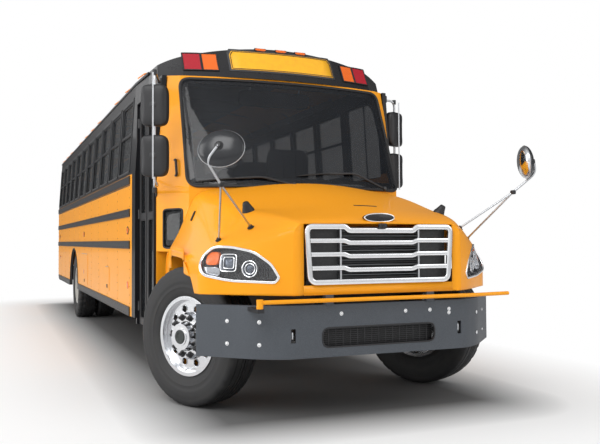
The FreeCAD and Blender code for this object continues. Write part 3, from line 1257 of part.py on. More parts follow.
def side_mirrors():
    """A post on each front corner with two rounded heads turned towards the driver."""
    body = cabin_form(-val("seat_gap"), val("skirt_z"), val("corner_back")).fuse([jamb_block(), front_skin(-val("seat_gap"))])
    depth, half, height = val("mirror_head_depth"), val("mirror_head_half"), val("mirror_head_height")
    plain = Part.makeBox(depth, 2 * half, height, Vector(-depth / 2, -half, 0))
    head = plain.makeFillet(val("mirror_round"), plain.Edges)
    solids = []
    for side, back in MIRROR_POSTS:
        x = behind(back)
        y = side * val("mirror_post_half")
        top = val("mirror_top_z")
        low = val("mirror_lower_low") - val("mirror_foot_drop")
        root = val("corner_back") + 60
        wall = side * (wall_line(0, top) - taper_at(root) + val("seat_gap"))
        foot = side * (wall_line(0, low) - taper_at(val("corner_back") + 30) + val("seat_gap"))
        post = tube([Vector(val("front_axle_x") - root, wall, top), Vector(x, y, top), Vector(x, y, low),
                     Vector(behind("corner_back") - 30, foot, low)], val("post_radius"), val("post_bend"))
        for z in ("mirror_upper_low", "mirror_lower_low"):
            turned = head.copy()
            turned.Placement = Placement(Vector(x, y, val(z)), Rotation(Vector(0, 0, 1), side * val("mirror_turn")))
            post = post.fuse(turned)
        solids.append(post.cut(body).removeSplitter())
    return shape("side_mirrors", Part.makeCompound(solids))


DOME_FACES = (
    # side, where the dome looks: back, inwards, up
    (1, -0.45, -0.88, -0.10),
    (-1, -0.80, 0.55, -0.25),
)


def dome(centre, look):
    """Egg-shaped mirror dome: upright and across as given, shallow along its look."""
    ball = Part.makeSphere(1)
    stretch = FreeCAD.Matrix()
    stretch.scale(val("cross_half_depth"), val("cross_half_width"), val("cross_half_height"))
    ball = ball.transformGeometry(stretch)
    across = Vector(0, 0, 1).cross(look).normalize()
    ball.Placement = Placement(centre, Rotation(look, across, look.cross(across), "XYZ"))
    return ball


def dome_reach(look):
    """How far a dome reaches ahead of its centre."""
    across = Vector(0, 0, 1).cross(look).normalize()
    upright = look.cross(across)
    return math.sqrt((val("cross_half_depth") * look.x) ** 2 + (val("cross_half_width") * across.x) ** 2
                     + (val("cross_half_height") * upright.x) ** 2)


def cross_mirrors():
    """A dome on a bent arm over each fender, held by two struts."""
    solids = []
    looks = [Vector(back, inwards, up).normalize() for side, back, inwards, up in DOME_FACES]
    reach = max(dome_reach(look) for look in looks)
    hood = hood_form(-val("seat_gap"))
    for (side, *aim), look in zip(DOME_FACES, looks):
        centre = Vector(ahead("front_reach") - reach, side * val("cross_half"), val("cross_z"))
        joint = Vector(ahead("cross_joint_ahead"), side * val("cross_joint_half"), val("cross_joint_z"))
        elbow = centre + Vector(0, side * val("cross_arm_out"), -val("cross_arm_drop"))
        foot = Vector(ahead("cross_foot_ahead"), side * val("cross_foot_half"), 1240)
        inner = Vector(ahead("cross_foot_ahead") + 160, side * (val("cross_foot_half") - 180), 1240)
        bars = [Part.makeCylinder(val("strut_radius"), (b - a).Length, a, b - a) for a, b in ((foot, joint), (inner, joint))]
        arm = tube([centre, elbow, joint], val("strut_radius"), val("cross_bend"))
        solids.append(dome(centre, look).fuse(bars + [arm]).cut(hood).removeSplitter())
    return shape("cross_mirrors", Part.makeCompound(solids))


# --- inside ---

def wheel_axis_place():
    """Where the steering wheel's hub is, and how its axis leans back towards the driver."""
    return Placement(Vector(behind("wheel_back"), val("wheel_side"), val("wheel_z")),
                     Rotation(Vector(0, 1, 0), -val("wheel_tilt")))


def dashboard():
    """Block behind the cowl, seated against its inner skin, with a hole for the steering column."""
    block = Part.makeBox(700, 2 * val("dash_half"), val("dash_height"),
                         Vector(behind("corner_back") - 60, -val("dash_half"), val("dash_top") - val("dash_height")))
    solid = block.common(front_skin(val("cowl_skin") + val("seat_gap")))
    hole = Part.makeCylinder(val("column_radius") + val("running_gap"), 1000, Vector(0, 0, -1000))
    hole.Placement = wheel_axis_place()
    return shape("dashboard", solid.cut(hole))


def steering_wheel():
    """Ring, two spokes and hub on a column that runs down to the toe board."""
    ring = Part.makeTorus(val("wheel_ring"), val("wheel_grip"))
    hub = Part.makeCylinder(45, 40, Vector(0, 0, -30))
    spokes = [Part.makeBox(2 * val("wheel_ring"), 30, 12, Vector(-val("wheel_ring"), -15, -6))]
    tilt = math.radians(val("wheel_tilt"))
    drop = val("wheel_z") - val("cowl_low") - val("cowl_skin") - val("seat_gap")
    length = (drop - val("column_radius") * math.sin(tilt)) / math.cos(tilt)
    column = Part.makeCylinder(val("column_radius"), length, Vector(0, 0, -length))
    solid = ring.fuse([hub, column] + spokes).removeSplitter()
    solid.Placement = wheel_axis_place()
    return shape("steering_wheel", solid)


def seats():
    cushions = []
    frames = []
    for side in (1, -1):
        y = "body_half - side_wall - bench_side_gap - bench_width" if side > 0 else \
            "bench_side_gap + side_wall - body_half"
        for k in range(int(val("bench_rows"))):
            x = "front_axle_x - bench_first_back - %d * bench_pitch" % k
            tag = "%d_%d" % (k, side > 0)
            cushions.append(box("cushion_" + tag, "bench_depth", "bench_width", "bench_cushion",
                                x + " - bench_depth", y, "floor_top + bench_height"))
            cushions.append(box("back_" + tag, "bench_back_wall", "bench_width", "bench_back_top - bench_height",
                                x + " - bench_depth - bench_back_wall", y, "floor_top + bench_height"))
            for j, away in enumerate(("100", "bench_width - 140")):
                frames.append(box("leg_%s_%d" % (tag, j), "bench_depth", "leg_width", "bench_height",
                                  x + " - bench_depth", y + " + " + away, "floor_top"))
    return group("bench_cushions", cushions), group("bench_frames", frames)


def driver_seat():
    base = box("driver_base", "driver_depth - 80", "driver_width - 100", "300", "front_axle_x - driver_back - driver_depth + 80",
               "wheel_side - driver_width / 2 + 50", "floor_top")
    pad_box = box("driver_cushion", "driver_depth", "driver_width", "130", "front_axle_x - driver_back - driver_depth",
                  "wheel_side - driver_width / 2", "floor_top + 300")
    back = box("driver_back_pad", "120", "driver_width", "850", "front_axle_x - driver_back - driver_depth - 120",
               "wheel_side - driver_width / 2", "floor_top + 300")
    return base, group("driver_seat", [pad_box, back])


def tail_lamps():
    lamps = []
    for side in (1, -1):
        for k, (z, half) in enumerate(((1560, 70), (1330, 60))):
            y = "980" if side > 0 else "-980"
            lamps.append(rod("tail_%d_%d" % (k, side > 0), str(half), "20", "front_axle_x - body_rear_back - 20", y, str(z), (1, 0, 0)))
    return group("tail_lamps", lamps)


def tow_eyes():
    """Two plates under the rear ends of the rails, each with one hole."""
    plates = []
    for side in (1, -1):
        y = "%d * (rail_half - rail_wall / 2) - tow_wall / 2" % side
        plate = box("tow_plate_%d" % (side > 0), "tow_length", "tow_wall", "tow_drop",
                    "front_axle_x - rail_rear_back", y, "rail_bottom - tow_drop")
        hole = rod("tow_hole_%d" % (side > 0), "tow_hole", "3 * tow_wall",
                   "front_axle_x - rail_rear_back + tow_length / 2", y + " - tow_wall",
                   "rail_bottom - tow_drop + tow_hole_up", (0, 1, 0))
        plates.append(cut("tow_eye_%d" % (side > 0), plate, hole))
    return group("tow_eyes", plates)


def plate_bracket():
    """Blank carrier for the rear registration plate, with its four fixing holes."""
    plate = box("carrier", "carrier_wall", "carrier_width", "carrier_height",
                "front_axle_x - body_rear_back - carrier_wall", "carrier_side - carrier_width / 2",
                "carrier_z - carrier_height / 2")
    holes = []
    for k, (a, b) in enumerate(((-1, -1), (1, -1), (1, 1), (-1, 1))):
        holes.append(rod("carrier_hole_%d" % k, "carrier_hole", "carrier_wall * 5",
                         "front_axle_x - body_rear_back - carrier_wall * 3",
                         "carrier_side + %d * carrier_pitch_y / 2" % a, "carrier_z + %d * carrier_pitch_z / 2" % b,
                         (1, 0, 0)))
    return cut("plate_bracket", plate, join("carrier_holes", holes))


PARTS = (frame_rails, cross_members, engine_block, radiator, front_axle, wheels, rear_axle, driveshaft, fuel_tank,
         exhaust, floor, step_well, side_glass, roof, front_frame, windshield, front_cap, warning_lamps, rear_wall,
         rear_glass, rear_door, rub_rails, hood, grille, headlamps, front_bumper, rear_bumper, crossing_gate,
         gate_bracket, stop_arm, stop_base, side_mirrors, cross_mirrors, dashboard, steering_wheel, seats, driver_seat,
         tail_lamps, tow_eyes, plate_bracket)

for make in PARTS:
    make()
side_wall("side_left", 1)
side_wall("side_right", -1)
door_leaf("door_front", "door_front_back + leaf_meet", True)
door_leaf("door_rear", "door_front_back + door_width / 2 + leaf_meet / 2", False)
doc.recompute()

NODES = ("frame_rails cross_members engine_block radiator front_axle knuckle_left knuckle_right tyre_front_left "
         "tyre_front_right rim_front_left rim_front_right rear_axle rim_rear_left rim_rear_right "
         "tyre_rear_left_outer tyre_rear_left_inner tyre_rear_right_outer tyre_rear_right_inner driveshaft fuel_tank "
         "exhaust floor step_well side_left side_right side_glass roof front_frame windshield front_cap "
         "warning_lamps rear_wall rear_glass rear_door rear_door_glass door_front door_front_glass door_rear "
         "door_rear_glass rub_rails hood grille headlamps front_bumper rear_bumper crossing_gate gate_bracket "
         "stop_arm stop_base side_mirrors cross_mirrors dashboard steering_wheel bench_cushions bench_frames "
         "driver_base driver_seat tail_lamps tow_eyes plate_bracket").split()

bad = [obj.Name for obj in doc.Objects if "Invalid" in obj.State or "Error" in obj.State]
named = {obj.Label: obj for obj in doc.Objects}
bad += [name for name in NODES if name not in named or named[name].Shape.isNull() or not named[name].Shape.isValid()]
if bad:
    raise SystemExit("failed: " + " ".join(bad))
os.makedirs("parts", exist_ok=True)
for name in NODES:
    named[name].Shape.exportStep("parts/%s.step" % name)
    form = named[name].Shape
    print("%-24s %2d solids %9.4f dm3" % (name, len(form.Solids), form.Volume / 1e6))
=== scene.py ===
import bmesh
import bpy
import json
import math
import numpy as np
from mathutils import Matrix, Vector


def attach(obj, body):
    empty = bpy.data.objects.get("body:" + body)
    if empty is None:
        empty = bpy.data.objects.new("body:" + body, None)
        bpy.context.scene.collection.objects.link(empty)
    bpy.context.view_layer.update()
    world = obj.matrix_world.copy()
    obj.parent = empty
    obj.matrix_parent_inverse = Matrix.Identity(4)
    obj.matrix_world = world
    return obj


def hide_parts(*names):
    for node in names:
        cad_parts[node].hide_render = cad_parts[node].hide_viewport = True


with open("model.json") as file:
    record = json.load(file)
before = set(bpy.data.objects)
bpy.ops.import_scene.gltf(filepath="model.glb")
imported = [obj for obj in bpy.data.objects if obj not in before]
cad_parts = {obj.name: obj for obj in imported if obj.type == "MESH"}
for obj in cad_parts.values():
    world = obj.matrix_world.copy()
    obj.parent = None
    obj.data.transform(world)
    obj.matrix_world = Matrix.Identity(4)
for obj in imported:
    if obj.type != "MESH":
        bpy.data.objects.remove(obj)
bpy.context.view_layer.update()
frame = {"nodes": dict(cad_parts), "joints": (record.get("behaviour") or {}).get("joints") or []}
joints = {joint["name"]: joint for joint in frame["joints"]}
axleX = joints["steer_left"]["pos_m"][0]  # the front axle, along the bus
rearAxleX = joints["spin_rear_left"]["pos_m"][0]
# the side in section: upright to the sill, then leaning in to the eave
wall = {"half": 1.220, "sill": 1.904, "eaveHalf": 1.161, "eave": 2.830}
print("stage 1: CAD frame loaded")


class Sock:
    # one socket of a material; arithmetic on it adds a Math node
    def __init__(self, tree, socket):
        self.tree, self.socket = tree, socket

    def math(self, operation, *values):
        return nodeIn(self.tree, "ShaderNodeMath", {"operation": operation}, *values)

    def __add__(self, other): return self.math("ADD", self, other)
    def __radd__(self, other): return self.math("ADD", other, self)
    def __sub__(self, other): return self.math("SUBTRACT", self, other)
    def __rsub__(self, other): return self.math("SUBTRACT", other, self)
    def __mul__(self, other): return self.math("MULTIPLY", self, other)
    def __rmul__(self, other): return self.math("MULTIPLY", other, self)
    def __truediv__(self, other): return self.math("DIVIDE", self, other)
    def __rtruediv__(self, other): return self.math("DIVIDE", other, self)
    def __gt__(self, other): return self.math("GREATER_THAN", self, other)
    def __lt__(self, other): return self.math("LESS_THAN", self, other)
    def absolute(self): return self.math("ABSOLUTE", self)
    def sine(self): return self.math("SINE", self)
    def root(self): return self.math("SQRT", self)
    def most(self, other): return self.math("MAXIMUM", self, other)
    def least(self, other): return self.math("MINIMUM", self, other)


def nodeIn(tree, kind, settings, *values, out=0, **named):
    # adds one node: settings first, then inputs by position or by name; gives one output as a Sock
    made = tree.nodes.new(kind)
    for key, setting in settings.items():
        if key == "stops":
            ramp = made.color_ramp
            while len(ramp.elements) < len(setting):
                ramp.elements.new(0.5)
            for stop, (place, colour) in zip(ramp.elements, setting):
                stop.position, stop.color = place, (*colour, 1)
        else:
            setattr(made, key, setting)
    pairs = [(made.inputs[i], v) for i, v in enumerate(values)]
    pairs += [(made.inputs[name.replace("_", " ")], v) for name, v in named.items()]
    for target, value in pairs:
        if isinstance(value, Sock):
            tree.links.new(value.socket, target)
        elif value is not None:
            target.default_value = (*value,
                                    1) if isinstance(value, tuple) and target.type == "RGBA" else value
    return Sock(tree, made.outputs[out])


def newMaterial(name, colour, roughness, metallic=0.0, coat=0.0, **extra):
    # a Principled surface with its plain numbers on its own sockets
    material = bpy.data.materials.new(name)
    material.use_nodes = True
    shader = material.node_tree.nodes["Principled BSDF"]
    shader.inputs["Base Color"].default_value = (*colour, 1)
    shader.inputs["Roughness"].default_value = roughness
    shader.inputs["Metallic"].default_value = metallic
    shader.inputs["Coat Weight"].default_value = coat
    for key, value in extra.items():
        shader.inputs[key.replace("_", " ")].default_value = value
    return material


def feed(material, name, sock):
    tree = material.node_tree
    tree.links.new(sock.socket, tree.nodes["Principled BSDF"].inputs[name])


def objectPlace(tree):
    return nodeIn(tree, "ShaderNodeTexCoord", {}, out=3)


def placeParts(tree):
    # the three distances of a point on the bus: forward, to the driver's side, up
    split = tree.nodes.new("ShaderNodeSeparateXYZ")
    tree.links.new(objectPlace(tree).socket, split.inputs[0])
    return [Sock(tree, output) for output in split.outputs]


def noiseIn(tree, scale, detail=3.0):
    return nodeIn(tree, "ShaderNodeTexNoise", {}, Vector=objectPlace(tree), Scale=scale, Detail=detail)


def blendColours(tree, share, first, second):
    # the first colour where the share is 0 and the second where it is 1
    mix = tree.nodes.new("ShaderNodeMix")
    mix.data_type = "RGBA"
    for target, value in ((mix.inputs[0], share), (mix.inputs[6], first), (mix.inputs[7], second)):
        if isinstance(value, Sock):
            tree.links.new(value.socket, target)
        else:
            target.default_value = (*value, 1) if isinstance(value, tuple) else value
    return Sock(tree, mix.outputs[2])


def smoothShare(sock, low, high):
    # 0 below the low limit, 1 above the high one, a straight ramp between
    return ((sock - low) / (high - low)).most(0.0).least(1.0)


def bumpBy(material, height, strength, distance):
    tree = material.node_tree
    feed(material, "Normal", nodeIn(tree, "ShaderNodeBump", {}, Strength=strength, Distance=distance,
                                    Height=height))


def unit(rows):
    rows = np.asarray(rows, float)
    return rows / np.linalg.norm(rows, axis=-1, keepdims=True)


def gridFaces(rows, cols, wrapRows=False, wrapCols=False):
    # four-sided faces between neighbours on a grid of points
    r = np.arange(rows if wrapRows else rows - 1)[:, None]
    c = np.arange(cols if wrapCols else cols - 1)[None, :]
    nextR, nextC = (r + 1) % rows, (c + 1) % cols
    corners = [r * cols + c, r * cols + nextC, nextR * cols + nextC, nextR * cols + c]
    return np.stack(np.broadcast_arrays(*corners), axis=-1).reshape(-1, 4)


def gridShape(points, wrapRows=False, wrapCols=False, capped=False):
    # rows x cols x 3 points as a surface; capped closes its first and last row
    rows, cols = points.shape[:2]
    faces = [gridFaces(rows, cols, wrapRows, wrapCols)]
    if capped:
        faces += [np.arange(cols)[None, ::-1], (rows - 1) * cols + np.arange(cols)[None]]
    return points.reshape(-1, 3), faces


def together(*shapes):
    # several shapes as one
    starts = np.cumsum([0] + [len(points) for points, faces in shapes])
    return (np.concatenate([points for points, faces in shapes]),
            [face + start for (points, faces), start in zip(shapes, starts) for face in faces])


def repeated(shape, places):
    # the same shape at each place
    points, faces = shape
    places = np.asarray(places, float).reshape(-1, 3)
    starts = np.arange(len(places))[:, None, None] * len(points)
    return ((points[None] + places[:, None]).reshape(-1, 3),
            [(face[None] + starts).reshape(-1, face.shape[1]) for face in faces])


def changed(shape, matrix, by=(0, 0, 0)):
    # each point turned or stretched by a 3 x 3 table, then moved
    return shape[0] @ np.asarray(matrix, float).T + np.asarray(by, float), shape[1]


def moved(shape, by):
    return shape[0] + np.asarray(by, float), shape[1]


def bothSides(shape):
    # the shape, or a list of them, and its mirror image across the middle of the bus
    points, faces = shape = together(*shape) if isinstance(shape, list) else shape
    return together(shape, (points * (1, -1, 1), [face[:, ::-1] for face in faces]))


def around(steps):
    return np.linspace(0, 2 * np.pi, steps, endpoint=False)


def pull(value, power):
    # a number between -1 and 1 drawn towards its nearer end by a power
    return np.sign(value) * np.abs(value) ** power


def circleAbout(axis, turn):
    # unit steps away from an axis at each turn about it: cos side + sin up
    axis = unit(axis)
    side = unit(np.cross(axis, (0, 0, 1) if abs(axis[2]) < 0.9 else (1, 0, 0)))
    return np.cos(turn)[:, None] * side + np.sin(turn)[:, None] * np.cross(axis, side)


def lathe(profile, centre, axis, steps=48):
    # a line of (along, radius) turned about an axis: centre + along x axis + radius x (cos side + sin up)
    profile = np.asarray(profile, float)
    ring = circleAbout(axis, around(steps))
    points = np.asarray(centre, float) + profile[:, :1, None] * unit(axis) + profile[:, 1:, None] * ring
    return gridShape(points, wrapCols=True)


def roundSection(radius, sides):
    turn = around(sides)
    return np.stack([np.cos(turn), np.sin(turn)], axis=1) * radius


def boxSection(width, height, softness, sides):
    # a soft rectangle: each of cos and sin is drawn towards 1 by its power
    turn = around(sides) + np.pi / sides
    return np.stack([pull(np.cos(turn), softness) * width / 2, pull(np.sin(turn), softness) * height / 2],
                    axis=1)


def sweep(path, section, up=None, closed=False, widen=1.0):
    # a section, (radius, sides) or (width, height, softness, sides), carried along a path; it keeps to up
    path = np.asarray(path, float)
    section = (roundSection if len(section) == 2 else boxSection)(*section)
    tangent = unit(np.roll(path, -1, axis=0) - np.roll(path, 1, axis=0)
                   if closed else np.gradient(path, axis=0))
    if up is None:
        up = np.eye(3)[np.argmin(np.abs(tangent).max(axis=0))]
    side = unit(np.cross(tangent, up))
    lift = np.cross(side, tangent)
    widen = np.broadcast_to(widen, len(path))[:, None, None]
    points = path[:, None] + widen * (section[None, :, :1] * side[:, None] + section[None, :, 1:]
                                      * lift[:, None])
    return gridShape(points, wrapRows=closed, wrapCols=True, capped=not closed)


def roundedPath(points, reach, steps=6, closed=False):
    # straight runs, each corner turned by a parabola that starts one reach before it
    points = np.asarray(points, float)
    reach = np.broadcast_to(reach, len(points))[:, None]
    into = points + unit(np.roll(points, 1, axis=0) - points) * reach
    out = points + unit(np.roll(points, -1, axis=0) - points) * reach
    s = np.linspace(0, 1, steps)[None, :, None]
    bends = (1 - s) ** 2 * into[:, None] + 2 * s * (1 - s) * points[:, None] + s ** 2 * out[:, None]
    if closed:
        return bends.reshape(-1, 3)
    return np.concatenate([points[:1], bends[1:-1].reshape(-1, 3), points[-1:]])


def withRuns(bends, steps):
    # the turned corners of a closed loop with more points on the straight runs between them
    runs = bends[:, -1:] + (np.roll(bends[:, :1], -1, axis=0)
                            - bends[:, -1:]) * np.linspace(0, 1, steps)[None, 1:-1, None]
    return np.concatenate([bends, runs], axis=1).reshape(-1, 3)


def block(low, high):
    # a box between two corners
    low, high = np.asarray(low, float), np.asarray(high, float)
    pick = np.array([[0, 0, 0], [1, 0, 0], [1, 1, 0], [0, 1, 0], [0, 0, 1], [1, 0, 1], [1, 1, 1], [0, 1, 1]])
    faces = np.array([[3, 2, 1, 0], [4, 5, 6, 7], [0, 1, 5, 4], [1, 2, 6, 5], [2, 3, 7, 6], [3, 0, 4, 7]])
    return low + pick * (high - low), [faces]


def slab(outline, thickness):
    # a flat outline of points given a thickness along one direction
    outline = np.asarray(outline, float)
    return gridShape(np.stack([outline, outline + np.asarray(thickness, float)]), wrapCols=True, capped=True)


def domeHead(radius, height, axis, steps=8):
    # a round head: its height falls as the square root of what is left of the radius
    share = np.array([1.0, 0.92, 0.6, 0.0])
    return lathe(np.stack([height * np.array([0, 0.45, 0.85, 1.0]), radius * share], axis=1), (0, 0, 0), axis,
                 steps)


mergeWithin = 0.00002  # points closer than this become one


def addPiece(name, shape, finish, body="chassis", stands=(), bevel=0.0, thick=0.0, crease=38):
    # one mesh from a shape or a list of shapes: doubles merged, faces outwards, smooth but for creases
    points, faces = together(*shape) if isinstance(shape, list) else shape
    mesh = bpy.data.meshes.new(name)
    mesh.from_pydata(points.tolist(), [], [corners for face in faces for corners in face.tolist()])
    work = bmesh.new()
    work.from_mesh(mesh)
    bmesh.ops.remove_doubles(work, verts=work.verts, dist=mergeWithin)
    bmesh.ops.recalc_face_normals(work, faces=work.faces)
    work.to_mesh(mesh)
    work.free()
    mesh.shade_smooth()
    mesh.set_sharp_from_angle(angle=math.radians(crease))
    mesh.materials.append(mats[finish])
    made = bpy.data.objects.new(name, mesh)
    bpy.context.scene.collection.objects.link(made)
    if thick:
        wall = made.modifiers.new("thick", "SOLIDIFY")
        wall.thickness, wall.offset = thick, -1.0
    if bevel:
        soften = made.modifiers.new("soften", "BEVEL")
        soften.width, soften.segments, soften.limit_method = bevel, 2, "ANGLE"
        soften.angle_limit = math.radians(crease)
        soften.harden_normals = True
    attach(made, body)
    if stands:
        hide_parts(*stands)
    return made


def cutAway(piece, shape):
    # takes a closed shape out of a finished piece and keeps the result as the piece's own mesh
    tool = bpy.data.objects.new("cutTool", bpy.data.meshes.new("cutTool"))
    tool.data.from_pydata(shape[0].tolist(), [], [corners for face in shape[1] for corners in face.tolist()])
    work = bmesh.new()
    work.from_mesh(tool.data)
    bmesh.ops.recalc_face_normals(work, faces=work.faces)
    work.to_mesh(tool.data)
    work.free()
    bpy.context.scene.collection.objects.link(tool)
    cut = piece.modifiers.new("cut", "BOOLEAN")
    cut.operation, cut.solver, cut.object = "DIFFERENCE", "EXACT", tool
    graph = bpy.context.evaluated_depsgraph_get()
    graph.update()
    made = bpy.data.meshes.new_from_object(piece.evaluated_get(graph), depsgraph=graph)
    piece.modifiers.clear()
    piece.data = made
    bpy.data.objects.remove(tool)


fullTurn = 6.2832
paint = {"yellow": (0.90, 0.35, 0.012), "dusty": (0.74, 0.30, 0.030), "black": (0.010, 0.010, 0.012),
         "bandFoot": 1.904, "doorBlackFrom": 2.70, "haze": 0.16, "orangePeel": 0.03, "coat": 0.18,
         "bend": 1.22, "dustLow": 0.45, "dustHigh": 1.15}


def makePaint(name, blackBand=False, blackDoorway=False, dust=True):
    # body paint: a slow change of shade, dust towards the skirt, black from the window sill up
    material = newMaterial(name, paint["yellow"], 0.35, coat=paint["coat"], Coat_Roughness=0.06,
                           IOR=paint["bend"])
    tree = material.node_tree
    forward, up = placeParts(tree)[::2]
    cloud = noiseIn(tree, 1.7)
    grain = noiseIn(tree, 42.0)
    share = smoothShare(cloud, 0.35, 0.75) * paint["haze"]
    if dust:
        share = share + (1 - smoothShare(up, paint["dustLow"], paint["dustHigh"])) * grain * 0.30
    colour = blendColours(tree, share.least(1.0), paint["yellow"], paint["dusty"])
    if blackBand:
        band = up > paint["bandFoot"]
        if blackDoorway:
            band = band.most(forward > paint["doorBlackFrom"])
        colour = blendColours(tree, band, colour, paint["black"])
    feed(material, "Base Color", colour)
    feed(material, "Roughness", grain * 0.12 + 0.30)
    bumpBy(material, noiseIn(tree, 260.0, 2.0), paint["orangePeel"], 0.0008)
    return material


def makeGlass(name, tint, opacity, roughness=0.03):
    # tinted glass: partly seen through, glossy by a low roughness, with a faint film of dust
    material = newMaterial(name, tint, roughness, IOR=1.45)
    tree = material.node_tree
    film = smoothShare(noiseIn(tree, 2.2, 5.0), 0.45, 0.8)
    feed(material, "Base Color", blendColours(tree, film * 0.25, tint,
                                              tuple(min(1.0, 2.2 * c + 0.02) for c in tint)))
    feed(material, "Alpha", film * 0.06 + opacity)
    return material


def makeLens(name, colour, deep, pitch=70.0, outerRed=0.0):
    # a moulded lens: fine ribs in its depth, a darker edge tone, and for the roof lamps red beyond a distance
    material = newMaterial(name, colour, 0.16, coat=0.35, Coat_Roughness=0.05, IOR=1.35)
    tree = material.node_tree
    across, up = placeParts(tree)[1:]
    ribs = (across * pitch * fullTurn).sine() * (up * pitch * fullTurn).sine()
    base = colour
    if outerRed:
        base = blendColours(tree, across.absolute() > outerRed, colour, (0.42, 0.008, 0.022))
    feed(material, "Base Color", blendColours(tree, smoothShare(ribs, 0.1, 1.0) * deep, base,
                                              (0.25, 0.01, 0.01)))
    bumpBy(material, ribs, 0.25, 0.002)
    return material


def makeBumperSteel():
    # powder-coated steel: coarse speckle in colour and height
    material = newMaterial("bumperGrey", (0.05, 0.058, 0.07), 0.5)
    tree = material.node_tree
    speckle = noiseIn(tree, 330.0, 6.0)
    cloud = noiseIn(tree, 6.0)
    colour = blendColours(tree, smoothShare(speckle, 0.35, 0.75), (0.038, 0.045, 0.055), (0.085, 0.095, 0.11))
    feed(material, "Base Color", blendColours(tree, smoothShare(cloud, 0.45, 0.8) * 0.35, colour,
                                              (0.07, 0.08, 0.095)))
    feed(material, "Roughness", speckle * 0.25 + 0.36)
    bumpBy(material, speckle, 0.5, 0.0012)
    return material


def makeRubber(name, colour, dusty):
    # tyre rubber: dust by noise, dull roughness and a fine grain
    material = newMaterial(name, colour, 0.72)
    tree = material.node_tree
    dust = smoothShare(noiseIn(tree, 9.0, 6.0), 0.45, 0.85)
    feed(material, "Base Color", blendColours(tree, dust * 0.55, colour, dusty))
    feed(material, "Roughness", dust * 0.2 + 0.6)
    bumpBy(material, noiseIn(tree, 420.0), 0.2, 0.0006)
    return material


def makeBrushed(name, colour, roughness, scale, metallic=1.0):
    # bright metal with streaks of slightly different gloss
    material = newMaterial(name, colour, roughness, metallic)
    tree = material.node_tree
    streak = noiseIn(tree, scale, 6.0)
    feed(material, "Roughness", streak * 0.16 + max(roughness - 0.08, 0.03))
    feed(material, "Base Color", blendColours(tree, smoothShare(streak, 0.4, 0.8) * 0.35, colour,
                                              tuple(c * 0.78 for c in colour)))
    bumpBy(material, streak, 0.04, 0.0008)
    return material


def makeVinyl(name, colour, worn):
    # coated seat cloth: pebble grain from cells, paler where worn
    material = newMaterial(name, colour, 0.5)
    tree = material.node_tree
    cells = nodeIn(tree, "ShaderNodeTexVoronoi", {}, Vector=objectPlace(tree), Scale=420.0)
    wear = smoothShare(noiseIn(tree, 5.0, 5.0), 0.5, 0.85)
    feed(material, "Base Color", blendColours(tree, wear * 0.5, colour, worn))
    feed(material, "Roughness", wear * 0.15 + 0.42)
    bumpBy(material, cells, 0.3, 0.0008)
    return material


def makeRibbedFloor():
    # ribbed floor covering: fine ridges across, dust between
    material = newMaterial("floorCover", (0.03, 0.03, 0.033), 0.6)
    tree = material.node_tree
    across = placeParts(tree)[1]
    ribs = (across * fullTurn / 0.02).sine()
    feed(material, "Base Color", blendColours(tree, smoothShare(noiseIn(tree, 7.0, 5.0), 0.45, 0.9) * 0.6,
                                              (0.028, 0.028, 0.031), (0.075, 0.072, 0.066)))
    bumpBy(material, ribs, 0.4, 0.002)
    return material


def makeFins(name, colour, pitch):
    # cooling fins: fine level lines, with painted shade between them
    material = newMaterial(name, colour, 0.45, 0.4)
    tree = material.node_tree
    up = placeParts(tree)[2]
    lines = (up * fullTurn / pitch).sine()
    # painted shade: the colour falls to a fifth of itself between the lines
    feed(material, "Base Color", blendColours(tree, smoothShare(lines, -0.4, 0.5),
                                              tuple(c * 0.2 for c in colour), colour))
    bumpBy(material, lines, 0.5, 0.003)
    return material


def makeRough(name, colour, second, scale, roughness, bump=0.25, metallic=0.0):
    # painted or cast surface: two tones by noise and a grain
    material = newMaterial(name, colour, roughness, metallic)
    tree = material.node_tree
    tone = noiseIn(tree, scale, 6.0)
    feed(material, "Base Color", blendColours(tree, smoothShare(tone, 0.4, 0.8), colour, second))
    feed(material, "Roughness", tone * 0.2 + roughness - 0.1)
    bumpBy(material, tone, bump, 0.0008)
    return material


